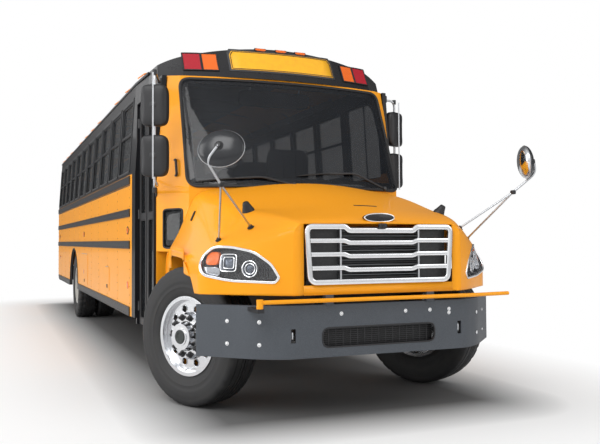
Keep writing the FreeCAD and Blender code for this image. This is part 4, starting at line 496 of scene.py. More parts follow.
mats = {"yellow": makePaint("busYellow"), "roofPaint": makePaint("roofYellow", dust=False),
        "sideRight": makePaint("curbSidePaint", blackBand=True, blackDoorway=True),
        "sideLeft": makePaint("driverSidePaint", blackBand=True),
        "hoodPaint": makePaint("hoodYellow", dust=False), "gateYellow": makePaint("gateYellow", dust=False),
        "signYellow": makeRough("signYellow", (0.92, 0.46, 0.01), (0.84, 0.40, 0.012), 20, 0.4, 0.05),
        "gloss": makeRough("glossBlack", (0.006, 0.006, 0.008), (0.010, 0.010, 0.012), 8, 0.28, 0.03),
        "band": makeRough("satinBlack", (0.013, 0.013, 0.015), (0.022, 0.022, 0.024), 30, 0.42, 0.1),
        "sash": makeRough("sashBlack", (0.016, 0.017, 0.019), (0.03, 0.031, 0.034), 40, 0.45, 0.1),
        "plastic": makeRough("blackPlastic", (0.008, 0.008, 0.010), (0.015, 0.015, 0.017), 240, 0.48, 0.3),
        "dome": makeRough("domePlastic", (0.014, 0.015, 0.018), (0.020, 0.022, 0.026), 14, 0.22, 0.03),
        "seal": makeRough("sealRubber", (0.008, 0.008, 0.009), (0.014, 0.014, 0.015), 90, 0.6, 0.2),
        "bumper": makeBumperSteel(),
        "rubber": makeRubber("tyreRubber", (0.016, 0.016, 0.017), (0.05, 0.048, 0.045)),
        "alloy": makeBrushed("wheelAlloy", (0.66, 0.67, 0.69), 0.18, 60),
        "steel": makeBrushed("satinSteel", (0.55, 0.56, 0.58), 0.32, 90),
        "chrome": makeBrushed("brightChrome", (0.86, 0.87, 0.89), 0.10, 30),
        "bolt": makeBrushed("boltSteel", (0.78, 0.79, 0.80), 0.25, 150),
        "rimPaint": makeRough("rimPaint", (0.60, 0.59, 0.56), (0.50, 0.48, 0.44), 12, 0.42, 0.1),
        "chassis": makeRough("chassisBlack", (0.010, 0.010, 0.011), (0.030, 0.028, 0.026), 18, 0.6, 0.3),
        "hubPaint": makeRough("hubPaint", (0.030, 0.036, 0.034), (0.055, 0.060, 0.055), 40, 0.45, 0.2, 0.3),
        "iron": makeRough("castIron", (0.05, 0.048, 0.046), (0.09, 0.075, 0.06), 30, 0.7, 0.5),
        "vinyl": makeVinyl("seatVinyl", (0.018, 0.026, 0.050), (0.045, 0.055, 0.08)),
        "driverCloth": makeVinyl("driverCloth", (0.022, 0.022, 0.024), (0.05, 0.05, 0.052)),
        "floor": makeRibbedFloor(),
        "liner": makeRough("cabinLiner", (0.26, 0.27, 0.26), (0.22, 0.23, 0.22), 3, 0.55, 0.05),
        "glass": makeGlass("tintedGlass", (0.045, 0.047, 0.050), 0.62, 0.05),
        "windshield": makeGlass("windshieldGlass", (0.008, 0.010, 0.014), 0.52),
        "doorGlass": makeGlass("doorGlass", (0.012, 0.014, 0.016), 0.70),
        "lampGlass": newMaterial("lampLens", (0.90, 0.92, 0.95), 0.03, Alpha=0.05),
        "lensGlass": makeRough("projectorGlass", (0.14, 0.16, 0.20), (0.05, 0.06, 0.08), 22, 0.12, 0.02, 0.6),
        "red": makeLens("redLens", (0.44, 0.008, 0.016), 0.5),
        "amber": makeLens("amberLens", (0.84, 0.15, 0.008), 0.35),
        "clearLens": makeLens("clearLens", (0.80, 0.80, 0.78), 0.1),
        "warning": makeLens("warningLens", (0.84, 0.15, 0.010), 0.35, 55.0, 0.758),
        "tail": makeLens("tailLens", (0.60, 0.012, 0.02), 0.5, 60.0),
        "signRed": makeRough("signRed", (0.55, 0.010, 0.014), (0.48, 0.012, 0.016), 15, 0.35, 0.05),
        "signWhite": makeRough("signWhite", (0.82, 0.82, 0.80), (0.74, 0.74, 0.72), 15, 0.4, 0.05),
        "mirror": makeBrushed("mirrorFace", (0.78, 0.80, 0.83), 0.04, 5),
        "fins": makeFins("radiatorFins", (0.16, 0.17, 0.18), 0.011),
        "reflector": makeBrushed("lampReflector", (0.46, 0.48, 0.52), 0.14, 12),
        "dashGrey": makeRough("dashGrey", (0.035, 0.037, 0.04), (0.05, 0.052, 0.055), 200, 0.6, 0.3),
        "meshSteel": makeRough("meshBlack", (0.02, 0.02, 0.022), (0.04, 0.04, 0.042), 60, 0.5, 0.2)}
nodeFinish = {"yellow": "front_frame rear_wall rear_door hood", "roofPaint": "roof",
              "gateYellow": "crossing_gate", "sideRight": "side_right", "sideLeft": "side_left",
              "gloss": "front_cap", "band": "rub_rails door_front door_rear rear_bumper",
              "bumper": "front_bumper",
              "plastic": "gate_bracket stop_base side_mirrors cross_mirrors steering_wheel plate_bracket",
              "dashGrey": "dashboard", "rubber": " ".join(n for n in frame["nodes"] if n.startswith("tyre_")),
              "alloy": "rim_front_left rim_front_right", "rimPaint": "rim_rear_left rim_rear_right",
              "chrome": "grille", "reflector": "headlamps", "steel": "driveshaft exhaust", "fins": "radiator",
              "chassis": " ".join(("frame_rails cross_members front_axle rear_axle",
                                   "fuel_tank bench_frames driver_base tow_eyes")),
              "iron": "engine_block knuckle_left knuckle_right", "vinyl": "bench_cushions driver_seat",
              "floor": "floor step_well", "glass": "side_glass rear_glass rear_door_glass",
              "doorGlass": "door_front_glass door_rear_glass", "windshield": "windshield",
              "warning": "warning_lamps", "tail": "tail_lamps", "signRed": "stop_arm"}
for finish, names in nodeFinish.items():
    for nodeName in names.split():
        node = frame["nodes"][nodeName]
        node.data.materials.clear()
        node.data.materials.append(mats[finish])
print("stage 2: finishes on the CAD nodes")


hoodShape = {
    # forward of the axle, half width, shoulder z, fender (y, z), upper edge (y, z), crown z
    "rows": ((1.063, .655, 1.130, .652, 1.300, .610, 1.350, 1.365),
             (.986, .770, 1.120, .748, 1.282, .655, 1.378, 1.395),
             (.778, 1.010, 1.105, .925, 1.262, .750, 1.425, 1.460),
             (.600, 1.180, 1.070, 1.045, 1.240, .825, 1.450, 1.520),
             (0, 1.192, 1.110, 1.070, 1.275, .900, 1.590, 1.712),
             (-.620, 1.120, 1.120, 1.040, 1.300, .960, 1.700, 1.862)),
    "rounding": (0.42, 0.42, 0.30, 0.45), "low": 0.872, "archRadius": 0.622, "wheelZ": 0.525, "skin": 0.008,
    "opening": (0.582, 0.938, 1.349), "steps": 9, "cowlGap": 0.012,
    # table of half widths: from, to, count
    "tableX": (0.2, 1.06, 87), "tableZ": (0.88, 1.30, 85),
    "stations": (0, .004, .010, .018, .030, .045, .065, .09, .12, .15, .185, .22, .26, .30, .34, .38, .43,
                 .463),
}


def smoothTable(rows, at):
    # rows between the table's rows: a cubic whose slope is the harmonic mean of its neighbours'
    rows = np.asarray(rows, float)[::-1]
    place, values = rows[:, 0], rows[:, 1:]
    span = np.diff(place)[:, None]
    rise = np.diff(values, axis=0) / span
    both = rise[:-1] * rise[1:]
    middle = np.where(both > 0, 2 * both / np.where(rise[:-1] + rise[1:] == 0, 1, rise[:-1] + rise[1:]), 0)
    slope = np.concatenate([rise[:1], middle, rise[-1:]])
    k = np.clip(np.searchsorted(place, at) - 1, 0, len(span) - 1)
    s = ((at - place[k]) / span[k, 0])[:, None]
    return ((2 * s ** 3 - 3 * s ** 2 + 1) * values[k] + (3 * s ** 2 - 2 * s ** 3) * values[k + 1]
            + (s ** 3 - 2 * s ** 2 + s) * span[k] * slope[k] + (s ** 3 - s ** 2) * span[k] * slope[k + 1])


cowlShape = {
    # behind the axle: nose, end of the arc, its half width, corner, corner's half width
    "sill": (0.150, 0.400, 0.985, 0.800, 1.170), "top": (0.670, 0.786, 0.967, 0.860, 1.119), "sillZ": 1.703,
    "rise": 0.997,
}


def cowlX(y, z):
    # how far forward the cowl reaches: an arc over the width at the sill and one at the top, straight between
    def arcAt(noseBack, edgeBack, half, cornerBack, cornerHalf):
        nose, edge, corner = axleX - noseBack, axleX - edgeBack, axleX - cornerBack
        radius = (half ** 2 + (nose - edge) ** 2) / (2 * (nose - edge))
        inside = nose - radius + np.sqrt(np.maximum(radius ** 2 - np.minimum(np.abs(y), half) ** 2, 0))
        beyond = np.clip((np.abs(y) - half) / (cornerHalf - half), 0, 1.2)
        return inside - beyond * (edge - corner)
    low, high = arcAt(*cowlShape["sill"]), arcAt(*cowlShape["top"])
    share = np.clip((z - cowlShape["sillZ"]) / cowlShape["rise"], 0, 1.1)
    return low + share * (high - low)


def hoodSections(x, count=12):
    # the section at each x from the left foot over the crown to the right foot; corners turned by parabolas
    side, shoulder, fender, fenderZ, upper, upperZ, crown = smoothTable(hoodShape["rows"], x - axleX).T
    drop = np.minimum(np.abs(x - axleX), hoodShape["archRadius"])
    arch = hoodShape["wheelZ"] + np.sqrt(hoodShape["archRadius"] ** 2 - drop ** 2)
    foot = np.minimum(np.maximum(hoodShape["low"], arch), shoulder + 0.01)
    half = np.array([[side, foot], [side, shoulder], [fender, fenderZ], [upper, upperZ], [0 * x, crown]])
    corners = np.concatenate([half, half[-2::-1] * np.array([-1, 1])[None, :, None]]).transpose(2, 0, 1)
    gaps = np.linalg.norm(np.diff(corners, axis=1), axis=2)
    gaps[:, 0] = gaps[:, -1] = np.hypot(0, shoulder - hoodShape["low"])
    shares = np.array(hoodShape["rounding"] + hoodShape["rounding"][-2::-1])
    reach = (shares * np.minimum(gaps[:, :-1], gaps[:, 1:]))[:, :, None]
    at = corners[:, 1:-1]
    into, out = at + unit(corners[:, :-2] - at) * reach, at + unit(corners[:, 2:] - at) * reach
    s = np.linspace(0, 1, hoodShape["steps"])[None, None, :, None]
    bends = (1 - s) ** 2 * into[:, :, None] + 2 * s * (1 - s) * at[:, :, None] + s ** 2 * out[:, :, None]
    low = into[:,
               :1] + (corners[:, :1] - into[:, :1]) * np.linspace(1, 0, count, endpoint=False)[None, :, None]
    low[:, :, 1] = np.minimum(low[:, :, 1], np.maximum(into[:, :1, 1], low[:, :, 1]))
    high = low[:, ::-1] * (-1, 1)
    return np.concatenate([low, bends.reshape(len(x), -1, 2), high], axis=1)


def hoodPoint(x, section):
    return np.concatenate([np.broadcast_to(x[:, None, None], section.shape[:2] + (1,)), section], axis=2)


def makeHood():
    # stations from the nose to the cowl; each line along the hood ends where it crosses the cowl
    h = hoodShape
    front = axleX + h["rows"][0][0]
    arch = axleX + h["archRadius"] * np.cos(np.linspace(0.35, np.pi - 0.12, 46))
    stations = front - np.array(h["stations"])
    stations = np.concatenate([stations[stations > arch[0] + 0.01], arch,
                               np.linspace(arch[-1] - 0.02, axleX + h["rows"][-1][0], 6)])
    grid = hoodPoint(stations, hoodSections(stations))
    gap = grid[:, :, 0] - cowlX(grid[:, :, 1], grid[:, :, 2]) - h["cowlGap"]
    first = np.maximum(np.argmax(gap < 0, axis=0), 1)
    column = np.arange(grid.shape[1])
    before, after = grid[first - 1, column], grid[first, column]
    share = gap[first - 1, column] / (gap[first - 1, column] - gap[first, column])
    meet = before + share[:, None] * (after - before)
    beyond = (gap.min(axis=0) < 0)[None] & (np.arange(len(grid))[:, None] >= first)
    grid = np.where(beyond[:, :, None], meet[None], grid)
    outline = grid[0]
    half, low, high = h["opening"]
    edge = np.stack([outline[:, 0], np.clip(outline[:, 1], -half, half), np.minimum(outline[:, 2], high)],
                    axis=1)
    sill = np.array([[[front, -half, z], [front, half, z]] for z in (h["low"], low)])
    shape = together(gridShape(np.concatenate([edge[None], grid])), gridShape(sill))
    hood = addPiece("hoodSkin", shape, "hoodPaint", "hood_body", stands=["hood"], thick=h["skin"], crease=42)
    out = lampAxes()[0]
    flat = lampFlat(0.97 * lampLoop())
    cutAway(hood, bothSides(slab(flat - 0.25 * out, 0.5 * out)))


def hoodHalf(x, z):
    # half width of the hood at places along and up, read between the entries of a table of sections
    h = hoodShape
    stations = axleX + np.linspace(*h["tableX"])
    heights = np.linspace(*h["tableZ"])
    sections = hoodSections(stations)[:, :40]
    table = np.stack([np.interp(heights, section[:, 1], section[:, 0]) for section in sections])
    i = np.clip((x - stations[0]) / (stations[1] - stations[0]), 0, len(stations) - 1.001)
    j = np.clip((z - heights[0]) / (heights[1] - heights[0]), 0, len(heights) - 1.001)
    a, b = i.astype(int), j.astype(int)
    u, v = i - a, j - b
    low, high = ((1 - u) * table[a, k] + u * table[a + 1, k] for k in (b, b + 1))
    return (1 - v) * low + v * high


grilleShape = {"front": 5.532, "low": 0.938, "high": 1.349, "half": 0.582, "lowHalf": 0.556, "frame": 0.038,
               "bar": 0.032, "slots": 4, "dipHalf": 0.250, "dipRun": 0.034, "dip": 0.026, "step": 0.014,
               "corner": 0.045, "depth": 0.024, "bend": 0.012, "louvreHalf": 0.30, "louvre": 0.004,
               "louvrePitch": 0.0165, "shield": (0.312, 0.545)}


def steppedPath(x, half, z, fall, reach):
    # a level line across the front that steps down in its middle
    inner, run = grilleShape["dipHalf"], grilleShape["dipRun"]
    points = [(x, half, z), (x, inner + run, z), (x, inner, z - fall), (x, -inner, z - fall),
              (x, -inner - run, z), (x, -half, z)]
    return roundedPath(points, reach, 4)


def makeGrille():
    # a soft-edged frame carried round the opening, and level bars that step down in the middle
    g = grilleShape
    x, w = g["front"] - g["depth"] / 2, g["frame"] / 2
    top, inner, run, bend = g["high"] - w, g["dipHalf"], g["dipRun"], g["bend"]
    half = [(x, g["lowHalf"] - w, g["low"] + w), (x, g["half"] - w, top), (x, inner + run, top),
            (x, inner, top - g["dip"])]
    corners = np.array(half + [(x, -y, z) for x, y, z in half[::-1]])
    reach = [g["corner"], g["corner"], bend, bend, bend, bend, g["corner"], g["corner"]]
    frameBar = sweep(roundedPath(corners, reach, 8, True), (g["frame"], g["depth"], 0.55, 20), up=(1, 0, 0),
                     closed=True)
    pitch = (g["high"] - g["low"] - 2 * g["frame"] + g["bar"]) / g["slots"]
    bars = []
    for k in range(1, g["slots"]):
        z = g["low"] + g["frame"] + k * pitch - g["bar"] / 2
        half = g["lowHalf"] - g["frame"] + (g["half"] - g["lowHalf"]) * k / g["slots"] + bend
        section = (g["bar"], g["depth"] * 0.8, 0.5, 16)
        bars.append(sweep(steppedPath(x - 0.003, half, z, g["step"], bend), section, up=(1, 0, 0)))
    addPiece("grilleBright", [frameBar, *bars], "chrome", "hood_body", stands=["grille"])
    end, thick = g["louvreHalf"], g["louvre"]
    louvres = [block((x - 0.036, -end, z), (x - 0.016, end, z + thick))
               for z in np.arange(g["low"] + 0.03, g["high"] - 0.02, g["louvrePitch"])]
    posts = [block((x - 0.040, y - 0.006, g["low"] + 0.01), (x - 0.014, y + 0.006, g["high"] - 0.01))
             for y in (-end - 0.006, end + 0.006)]
    near, far = g["shield"]
    sides = [block((x - 0.055, y, g["low"] + thick), (x - 0.048, y + far - near, g["high"] - thick))
             for y in (near, -far)]
    addPiece("grilleLouvres", louvres, "fins", "hood_body")
    addPiece("grillePosts", posts, "steel", "hood_body")
    addPiece("grilleShields", sides, "meshSteel", "hood_body")


lampShape = {
    # along the lamp towards its outer end, up, share of the corner's sides that is turned
    "outline": ((-.316, -.100, .30), (-.262, -.008, .35), (-.130, .078, .38), (.060, .112, .40),
                (.215, .112, .42), (.311, .030, .42), (.270, -.085, .42), (.060, -.125, .40),
                (-.288, -.135, .35)),
    "ahead": 0.800, "side": 0.955, "up": 1.088, "turn": 44.0, "bezel": 0.019,
    "amber": ((0.200, 0.028), (0.052, 0.046)), "silver": ((0.205, -0.062), (0.075, 0.034)),
    "square": ((0.068, 0.000), (0.060, 0.058)), "round": ((-0.090, -0.040), (0.054, 0.054)),
    "ribs": (-0.17, -0.19, -0.21),
}


def lampLoop(steps=7):
    points = np.array([row[:2] for row in lampShape["outline"]])
    gaps = np.linalg.norm(points - np.roll(points, -1, axis=0), axis=1)
    reach = np.array([row[2] for row in lampShape["outline"]]) * np.minimum(gaps, np.roll(gaps, 1))
    return roundedPath(np.column_stack([points, np.zeros(len(points))]), reach, steps, True)[:, :2]


def lampAxes():
    # the way that the lamps look, and the way along them towards the side
    turn = math.radians(lampShape["turn"])
    return np.array([math.cos(turn), math.sin(turn), 0]), np.array([-math.sin(turn), math.cos(turn), 0])


def lampFlat(spots):
    # flat lamp places, before they meet the hood
    along = lampAxes()[1]
    start = np.array([axleX + lampShape["ahead"], lampShape["side"], lampShape["up"]])
    return start + spots[..., :1] * along + spots[..., 1:2] * (0, 0, 1)


def lampPlace(spots, sunk):
    # flat places moved along the lamp's look until they meet the hood, half the error at a time, then sunk
    out, flat = lampAxes()[0], lampFlat(spots)
    depth = np.zeros(flat.shape[:-1])
    for k in range(30):
        at = flat + depth[..., None] * out
        depth = depth - 0.5 * (at[..., 1] - hoodHalf(at[..., 0], at[..., 2]))
    return flat + (depth - sunk)[..., None] * out


def lampPatch(loop, centre, shares, sunk):
    # rings between a centre and the loop, each sunk by its own depth
    rings = centre + np.asarray(shares)[:, None, None] * (loop[None] - centre)
    return gridShape(lampPlace(rings, np.asarray(sunk, float)[:, None]), wrapCols=True)


def makeHeadlamps():
    # bezel, dark hollow housing, amber corner, square and round projectors, clear cover
    shape, loop, centre, out = lampShape, lampLoop(), np.zeros(2), (0.72, 0.69, 0)
    inner = 0.93 * loop
    bezel = sweep(lampPlace(0.962 * loop, -0.001), (shape["bezel"], 0.014, 0.6, 12), up=out, closed=True)
    cover = lampPatch(inner, centre, [0.0, 0.35, 0.7, 0.9, 1.0], [-.003, -.003, -.003, -.002, .001])
    house = lampPatch(inner, centre, [1.0, 0.97, 0.93, 0.5, 0.0], [.002, .03, .048, .055, .055])
    turn = around(36)
    circle = np.stack([np.cos(turn), np.sin(turn)], axis=1)

    def spot(key, power):
        # the middle of one lamp and its half sizes along a loop between a circle and a square
        at, size = map(np.array, shape[key])
        return at, pull(circle, power) * size

    corner, silver = [lampPatch(at + form, at, [0.0, 0.5, 0.95, 1.0, 1.02], [.020, .021, .024, .032, .052])
                      for at, form in (spot("amber", 0.6), spot("silver", 0.6))]
    rings, lenses, bowls = [], [], []
    for at, form in (spot("square", 0.35), spot("round", 1.0)):
        rim = at + form
        rings.append(sweep(lampPlace(rim, 0.014), (0.0042, 8), up=out, closed=True))
        rings.append(sweep(lampPlace(at + form * 0.66, 0.020), (0.0035, 8), up=out, closed=True))
        rings.append(lampPatch(rim, at, [1.0, 0.98], [.014, .052]))
        lenses.append(lampPatch(at + 0.62 * form, at, [0, 0.4, 0.75, 1.0, 1.02],
                                [.014, .016, .022, .032, .050]))
        bowls.append(lampPatch(rim, at, [0.97, 0.66], [.018, .044]))
    fins = [lampPlace(np.array([[a, -0.098], [a + 0.004, 0.020 + a * 0.25]]), 0.05) for a in shape["ribs"]]
    ribs = [sweep(fin, (0.004, 0.012, 0.5, 8), up=out) for fin in fins]
    addPiece("headlampBezels", bothSides(bezel), "chrome", "hood_body", stands=["headlamps"])
    for name, shapes, finish in (("headlampHouses", house, "gloss"), ("headlampRibs", ribs, "band"),
                                 ("headlampCovers", cover, "lampGlass"), ("turnLamps", corner, "amber"),
                                 ("headlampMirrors", [silver, *bowls], "reflector"),
                                 ("headlampRings", rings, "chrome"), ("headlampLenses", lenses, "lensGlass")):
        addPiece(name, bothSides(shapes), finish, "hood_body")


bumperShape = {"front": 5.495, "plan": ((0.70, 0.87, 1.20), (1.045, 0.955, 0.630)),
               "bolts": ((-0.86, 0.70), (-0.86, 0.55), (-1.03, 0.70), (-1.03, 0.55), (0.86, 0.70),
                         (0.86, 0.55), (1.03, 0.70), (1.03, 0.55)),
               "holes": ((-0.30, 0.742), (0.56, 0.742), (0.56, 0.716), (0.20, 0.742), (0.40, 0.742)),
               "bolt": (0.0085, 0.006),
               "washer": ((-0.001, 0.014), (0.0015, 0.014), (0.0015, 0.010), (0.0, 0.0)),
               "slot": (0.440, 0.520, 0.650), "slotCorner": 0.055, "wirePitch": 0.0135, "postPitch": 0.055,
               "hookY": 0.65, "hookZ": (0.635, 0.575), "intakeZ": (0.880, 0.935)}


def bumperX(y):
    # the bumper's face in plan: flat middle, then two straight runs swept back
    return axleX + np.interp(np.abs(y), *bumperShape["plan"])


def bumperOut(y):
    # the way that the face looks at a place across
    slope = (bumperX(np.abs(y) + 0.01) - bumperX(np.abs(y) - 0.01)) / 0.02
    return unit(np.array([1.0, -slope * np.sign(y), 0]))


def makeBumperDetail():
    # bolt heads on washers, a rolled rim and a wire screen in the slot, hooks in the tow slots
    b = bumperShape
    heads = []
    for y, z in b["bolts"] + b["holes"]:
        out = bumperOut(y)
        at = np.array([bumperX(y), y, z]) + 0.001 * out
        heads += [moved(domeHead(*b["bolt"], out, 10), at), moved(lathe(b["washer"], (0, 0, 0), out, 16), at)]
    addPiece("bumperBolts", heads, "bolt")
    half, low, high = b["slot"]
    x = b["front"] - 0.004
    rim = roundedPath([(x, half, low), (x, half, high), (x, -half, high), (x, -half, low)], b["slotCorner"],
                      8, True)
    addPiece("bumperSlotRim", sweep(rim, (0.012, 0.014, 0.6, 10), up=(1, 0, 0), closed=True), "band")
    wires = [block((x - 0.030, -half, z), (x - 0.027, half, z + 0.0035))
             for z in np.arange(low + 0.008, high, b["wirePitch"])]
    wires += [block((x - 0.027, y, low), (x - 0.024, y + 0.004, high))
              for y in np.arange(-half, half, b["postPitch"])]
    addPiece("bumperScreen", wires, "meshSteel")
    back = block((x - 0.075, -half - 0.02, low - 0.02), (x - 0.070, half + 0.02, high + 0.02))
    addPiece("bumperScreenBack", back, "seal", bevel=0.002)
    top, foot = b["hookZ"]
    loops = [roundedPath([(x - 0.12, y, top), (x - 0.020, y, top), (x - 0.020, y, foot), (x - 0.12, y, foot)],
                         0.028, 8) for y in (-b["hookY"], b["hookY"])]
    addPiece("towHooks", [sweep(loop, (0.011, 12), up=(0, 1, 0)) for loop in loops], "steel")
    fins = [block((5.44, -0.45, z), (5.445, 0.45, z + 0.004)) for z in np.arange(*b["intakeZ"], 0.012)]
    addPiece("lowerIntake", fins, "fins", "hood_body")


capLean = {"low": 2.700, "run": 0.4, "lean": 0.220, "nose": 3.800, "edge": 3.650, "half": 0.930,
           "cornerHalf": 1.220, "cornerBack": 0.260}


def capX(y, z):
    # the cap's face: an arc over its width that leans back as it rises, then a line to the corner
    c = capLean
    share = (z - c["low"]) / c["run"]
    sag = c["nose"] - c["edge"]
    radius = (c["half"] ** 2 + sag ** 2) / (2 * sag)
    inside = c["nose"] - radius + np.sqrt(radius ** 2 - np.minimum(np.abs(y), c["half"]) ** 2)
    beyond = np.clip((np.abs(y) - c["half"]) / (c["cornerHalf"] - c["half"]), 0, 1)
    return inside - c["lean"] * share - beyond * (c["cornerBack"] - c["lean"] * share / 2)


signShape = {"half": 0.505, "low": 2.785, "high": 2.978, "step": 0.040, "border": 0.020, "proud": 0.006,
             "lineIn": 0.008}


def capPatch(outline, proud, rings=6):
    # an outline on the cap filled with rings towards its middle, set proud of the cap
    outline = np.asarray(outline, float)
    centre = outline.mean(axis=0)
    flat = centre + np.linspace(1, 0, rings)[:, None, None] * (outline - centre)
    x = capX(flat[..., 0], flat[..., 1]) + proud
    return gridShape(np.concatenate([x[..., None], flat], axis=2), wrapCols=True)


def denser(outline, count=8):
    # more points on each straight run of a closed outline
    outline = np.asarray(outline, float)
    share = np.linspace(0, 1, count, endpoint=False)[None, :, None]
    return (outline[:, None] * (1 - share) + np.roll(outline, -1, axis=0)[:, None]
            * share).reshape(-1, outline.shape[1])


def makeSign():
    # a blank plate with stepped upper corners, a grey surround and a black line, on the cap's face
    s = signShape

    def outline(grow):
        half, low, high, step = s["half"] + grow, s["low"] - grow, s["high"] + grow, s["step"]
        right = [(half, low), (half, high - step), (half - step * 0.6, high)]
        return denser([(-half, low)] + right + [(step * 0.6 - half, high), (-half, high - step)], 16)

    addPiece("signSurround", capPatch(outline(s["border"]), s["proud"] * 0.6), "dashGrey", thick=0.004)
    addPiece("signPlate", capPatch(outline(0.0), s["proud"]), "signYellow", thick=0.003)
    rim = outline(-s["lineIn"])
    path = np.column_stack([capX(rim[:, 0], rim[:, 1]) + s["proud"] + 0.001, rim])
    addPiece("signLine", sweep(path, (0.007, 0.002, 0.5, 8), up=(1, 0, 0.5), closed=True), "band")


capLamps = {"frames": ((0.616, 0.762), (0.762, 0.926)), "frameZ": (2.764, 2.936), "y": (-0.20, 0.0, 0.20),
            "z": 3.002, "half": 0.055, "foot": (0.040, 0.034, 0.6, 12), "lens": (0.030, 0.022, 0.7, 12),
            "taper": (.5, .85, 1, 1, 1, 1, 1, .85, .5)}


def makeCapLamps():
    # black frames round the warning lamps and three small amber lamps at the top
    c = capLamps
    frames = []
    for low, high in c["frames"]:
        foot, head = c["frameZ"]
        loop = denser([(low + 0.004, foot), (high - 0.004, foot), (high - 0.004, head), (low + 0.004, head)],
                      6)
        path = np.column_stack([capX(loop[:, 0], loop[:, 1]) + 0.005, loop])
        frames.append(sweep(path, (0.013, 0.012, 0.6, 10), up=(1, 0, 0.5), closed=True))
    addPiece("warningFrames", bothSides(frames), "seal")
    lamps, feet = [], []
    z = c["z"]
    for y in c["y"]:
        x = float(capX(np.array(y), z)) - 0.010
        ends = (x, y - c["half"], z), (x, y + c["half"], z)
        feet.append(sweep(np.linspace(*ends, 6), c["foot"], up=(1, 0, 0.6)))
        lamps.append(sweep(np.linspace(*ends, 9) + (0.010, 0, 0.004), c["lens"], up=(1, 0, 0.6),
                           widen=c["taper"]))
    addPiece("clearanceLamps", lamps, "amber")
    addPiece("clearanceFeet", feet, "gloss")


windShape = {"low": 1.692, "high": 2.670, "halfLow": 0.995, "halfHigh": 0.978, "corner": 0.090, "seal": 0.026,
             "opening": (1.748, 2.635, 0.940, 0.922), "lip": 0.012, "glassProud": 0.012, "borderProud": 0.009,
             "borderDepth": 0.034}


def onto(points, proud):
    # the points carried along the bus onto the cowl, a distance in front of it
    return np.column_stack([cowlX(points[:, 1], points[:, 2]) + proud, points[:, 1:]])


def windLoop(corner, proud):
    # the windshield's outline, its corners turned, set proud of the cowl's surface
    w = windShape
    low, high = w["low"], w["high"]
    flat = [(0, -w["halfLow"], low), (0, w["halfLow"], low), (0, w["halfHigh"], high),
            (0, -w["halfHigh"], high)]
    return onto(withRuns(roundedPath(flat, corner, 8, True).reshape(4, 8, 3), 14), proud)


def makeWindshield():
    # curved glass in front of a black printed border, with a fat rubber seal round its edge
    w = windShape
    outer = windLoop(w["corner"], 0.0)
    low, high, halfLow, halfHigh = w["opening"]
    centre = np.array([0, 0, (w["low"] + w["high"]) / 2])
    rings = [onto(centre + share * (outer - centre), w["glassProud"]) for share in np.linspace(1, 0, 15)]
    addPiece("windshieldGlass", gridShape(np.stack(rings), wrapCols=True), "windshield",
             stands=["windshield"], thick=0.004)
    rise = np.clip((outer[:, 2] - low) / (high - low), 0, 1)
    edge = halfLow - (halfLow - halfHigh) * rise - w["lip"]
    inside = outer.copy()
    inside[:, 1] = np.clip(outer[:, 1], -edge, edge)
    inside[:, 2] = np.clip(outer[:, 2], low + w["lip"], high - w["lip"])
    inside = onto(inside, 0.0)
    lips = [onto(outer + share * (inside - outer), w["borderProud"]) for share in (0, 0.25, 0.5, 0.75, 1)]
    border = np.stack([outer, *lips, inside + (-w["borderDepth"], 0, 0)])
    addPiece("windshieldBorder", gridShape(border, wrapCols=True), "gloss")
    rubber = sweep(windLoop(w["corner"], 0.008), (w["seal"], 0.020, 0.6, 14), up=(1, 0, 0.45), closed=True)
    addPiece("windshieldSeal", rubber, "seal")


makeHood()
makeGrille()
makeHeadlamps()
makeBumperDetail()
makeSign()
makeCapLamps()
makeWindshield()
print("stage 3: hood, grille, lamps, bumper, cap and windshield")


tyreShape = {
    "radius": 0.525, "half": 0.140, "tread": 0.112, "bead": 0.286,
    # across from the middle and out from the bead to the tread, for the outer half of the section
    "side": ((.104, .0005), (.109, .010), (.112, .016), (.116, .020), (.124, .034), (.131, .055),
             (.1345, .073),
             (.1368, .076), (.1372, .090), (.1368, .105), (.1392, .110), (.1398, .128), (.1396, .150),
             (.1380, .168),
             (.1372, .172), (.1366, .186), (.1345, .200), (.128, .2135), (.121, .2235), (.113, .2295)),
    "inside": ((-.104, .006), (-.100, .03), (-.06, .12), (0, .14), (.06, .12), (.100, .03), (.104, .006)),
    "steps": 180,
    # shoulder cuts: from how far across, how far below the tread, steps in six, depth
    "lugs": (0.040, 0.030, 2, 0.012), "ribs": (0.090, 0.016, 1, 0.006),
    "grooves": (0.028, 0.078), "grooveHalf": 0.0052, "grooveDepth": 0.014,
}


def tyreSection():
    # half section from the bead to the tread, then the crown with its grooves, mirrored across
    t = tyreShape
    side = np.array([(across, t["bead"] + 0.004 + rise) for across, rise in t["side"]])
    g, d = t["grooveHalf"], t["grooveDepth"]
    crown = np.array([(groove + shift, drop) for groove in sorted(t["grooves"], reverse=True)
                      for shift, drop in ((g + 0.001, 0), (g, 0.0015), (g * 0.7, d), (g * -0.7, d),
                                          (-g, 0.0015), (-g - 0.001, 0))])
    crown[:, 1] = t["radius"] - 0.0045 * (crown[:, 0] / t["tread"]) ** 2 - crown[:, 1]
    half = np.concatenate([side, crown, [(0.006, t["radius"]), (0.005, t["radius"] - 0.012)]])
    inside = np.array([(across, t["bead"] + rise) for across, rise in t["inside"]])
    return np.concatenate([half, half[::-1] * (-1, 1), inside])


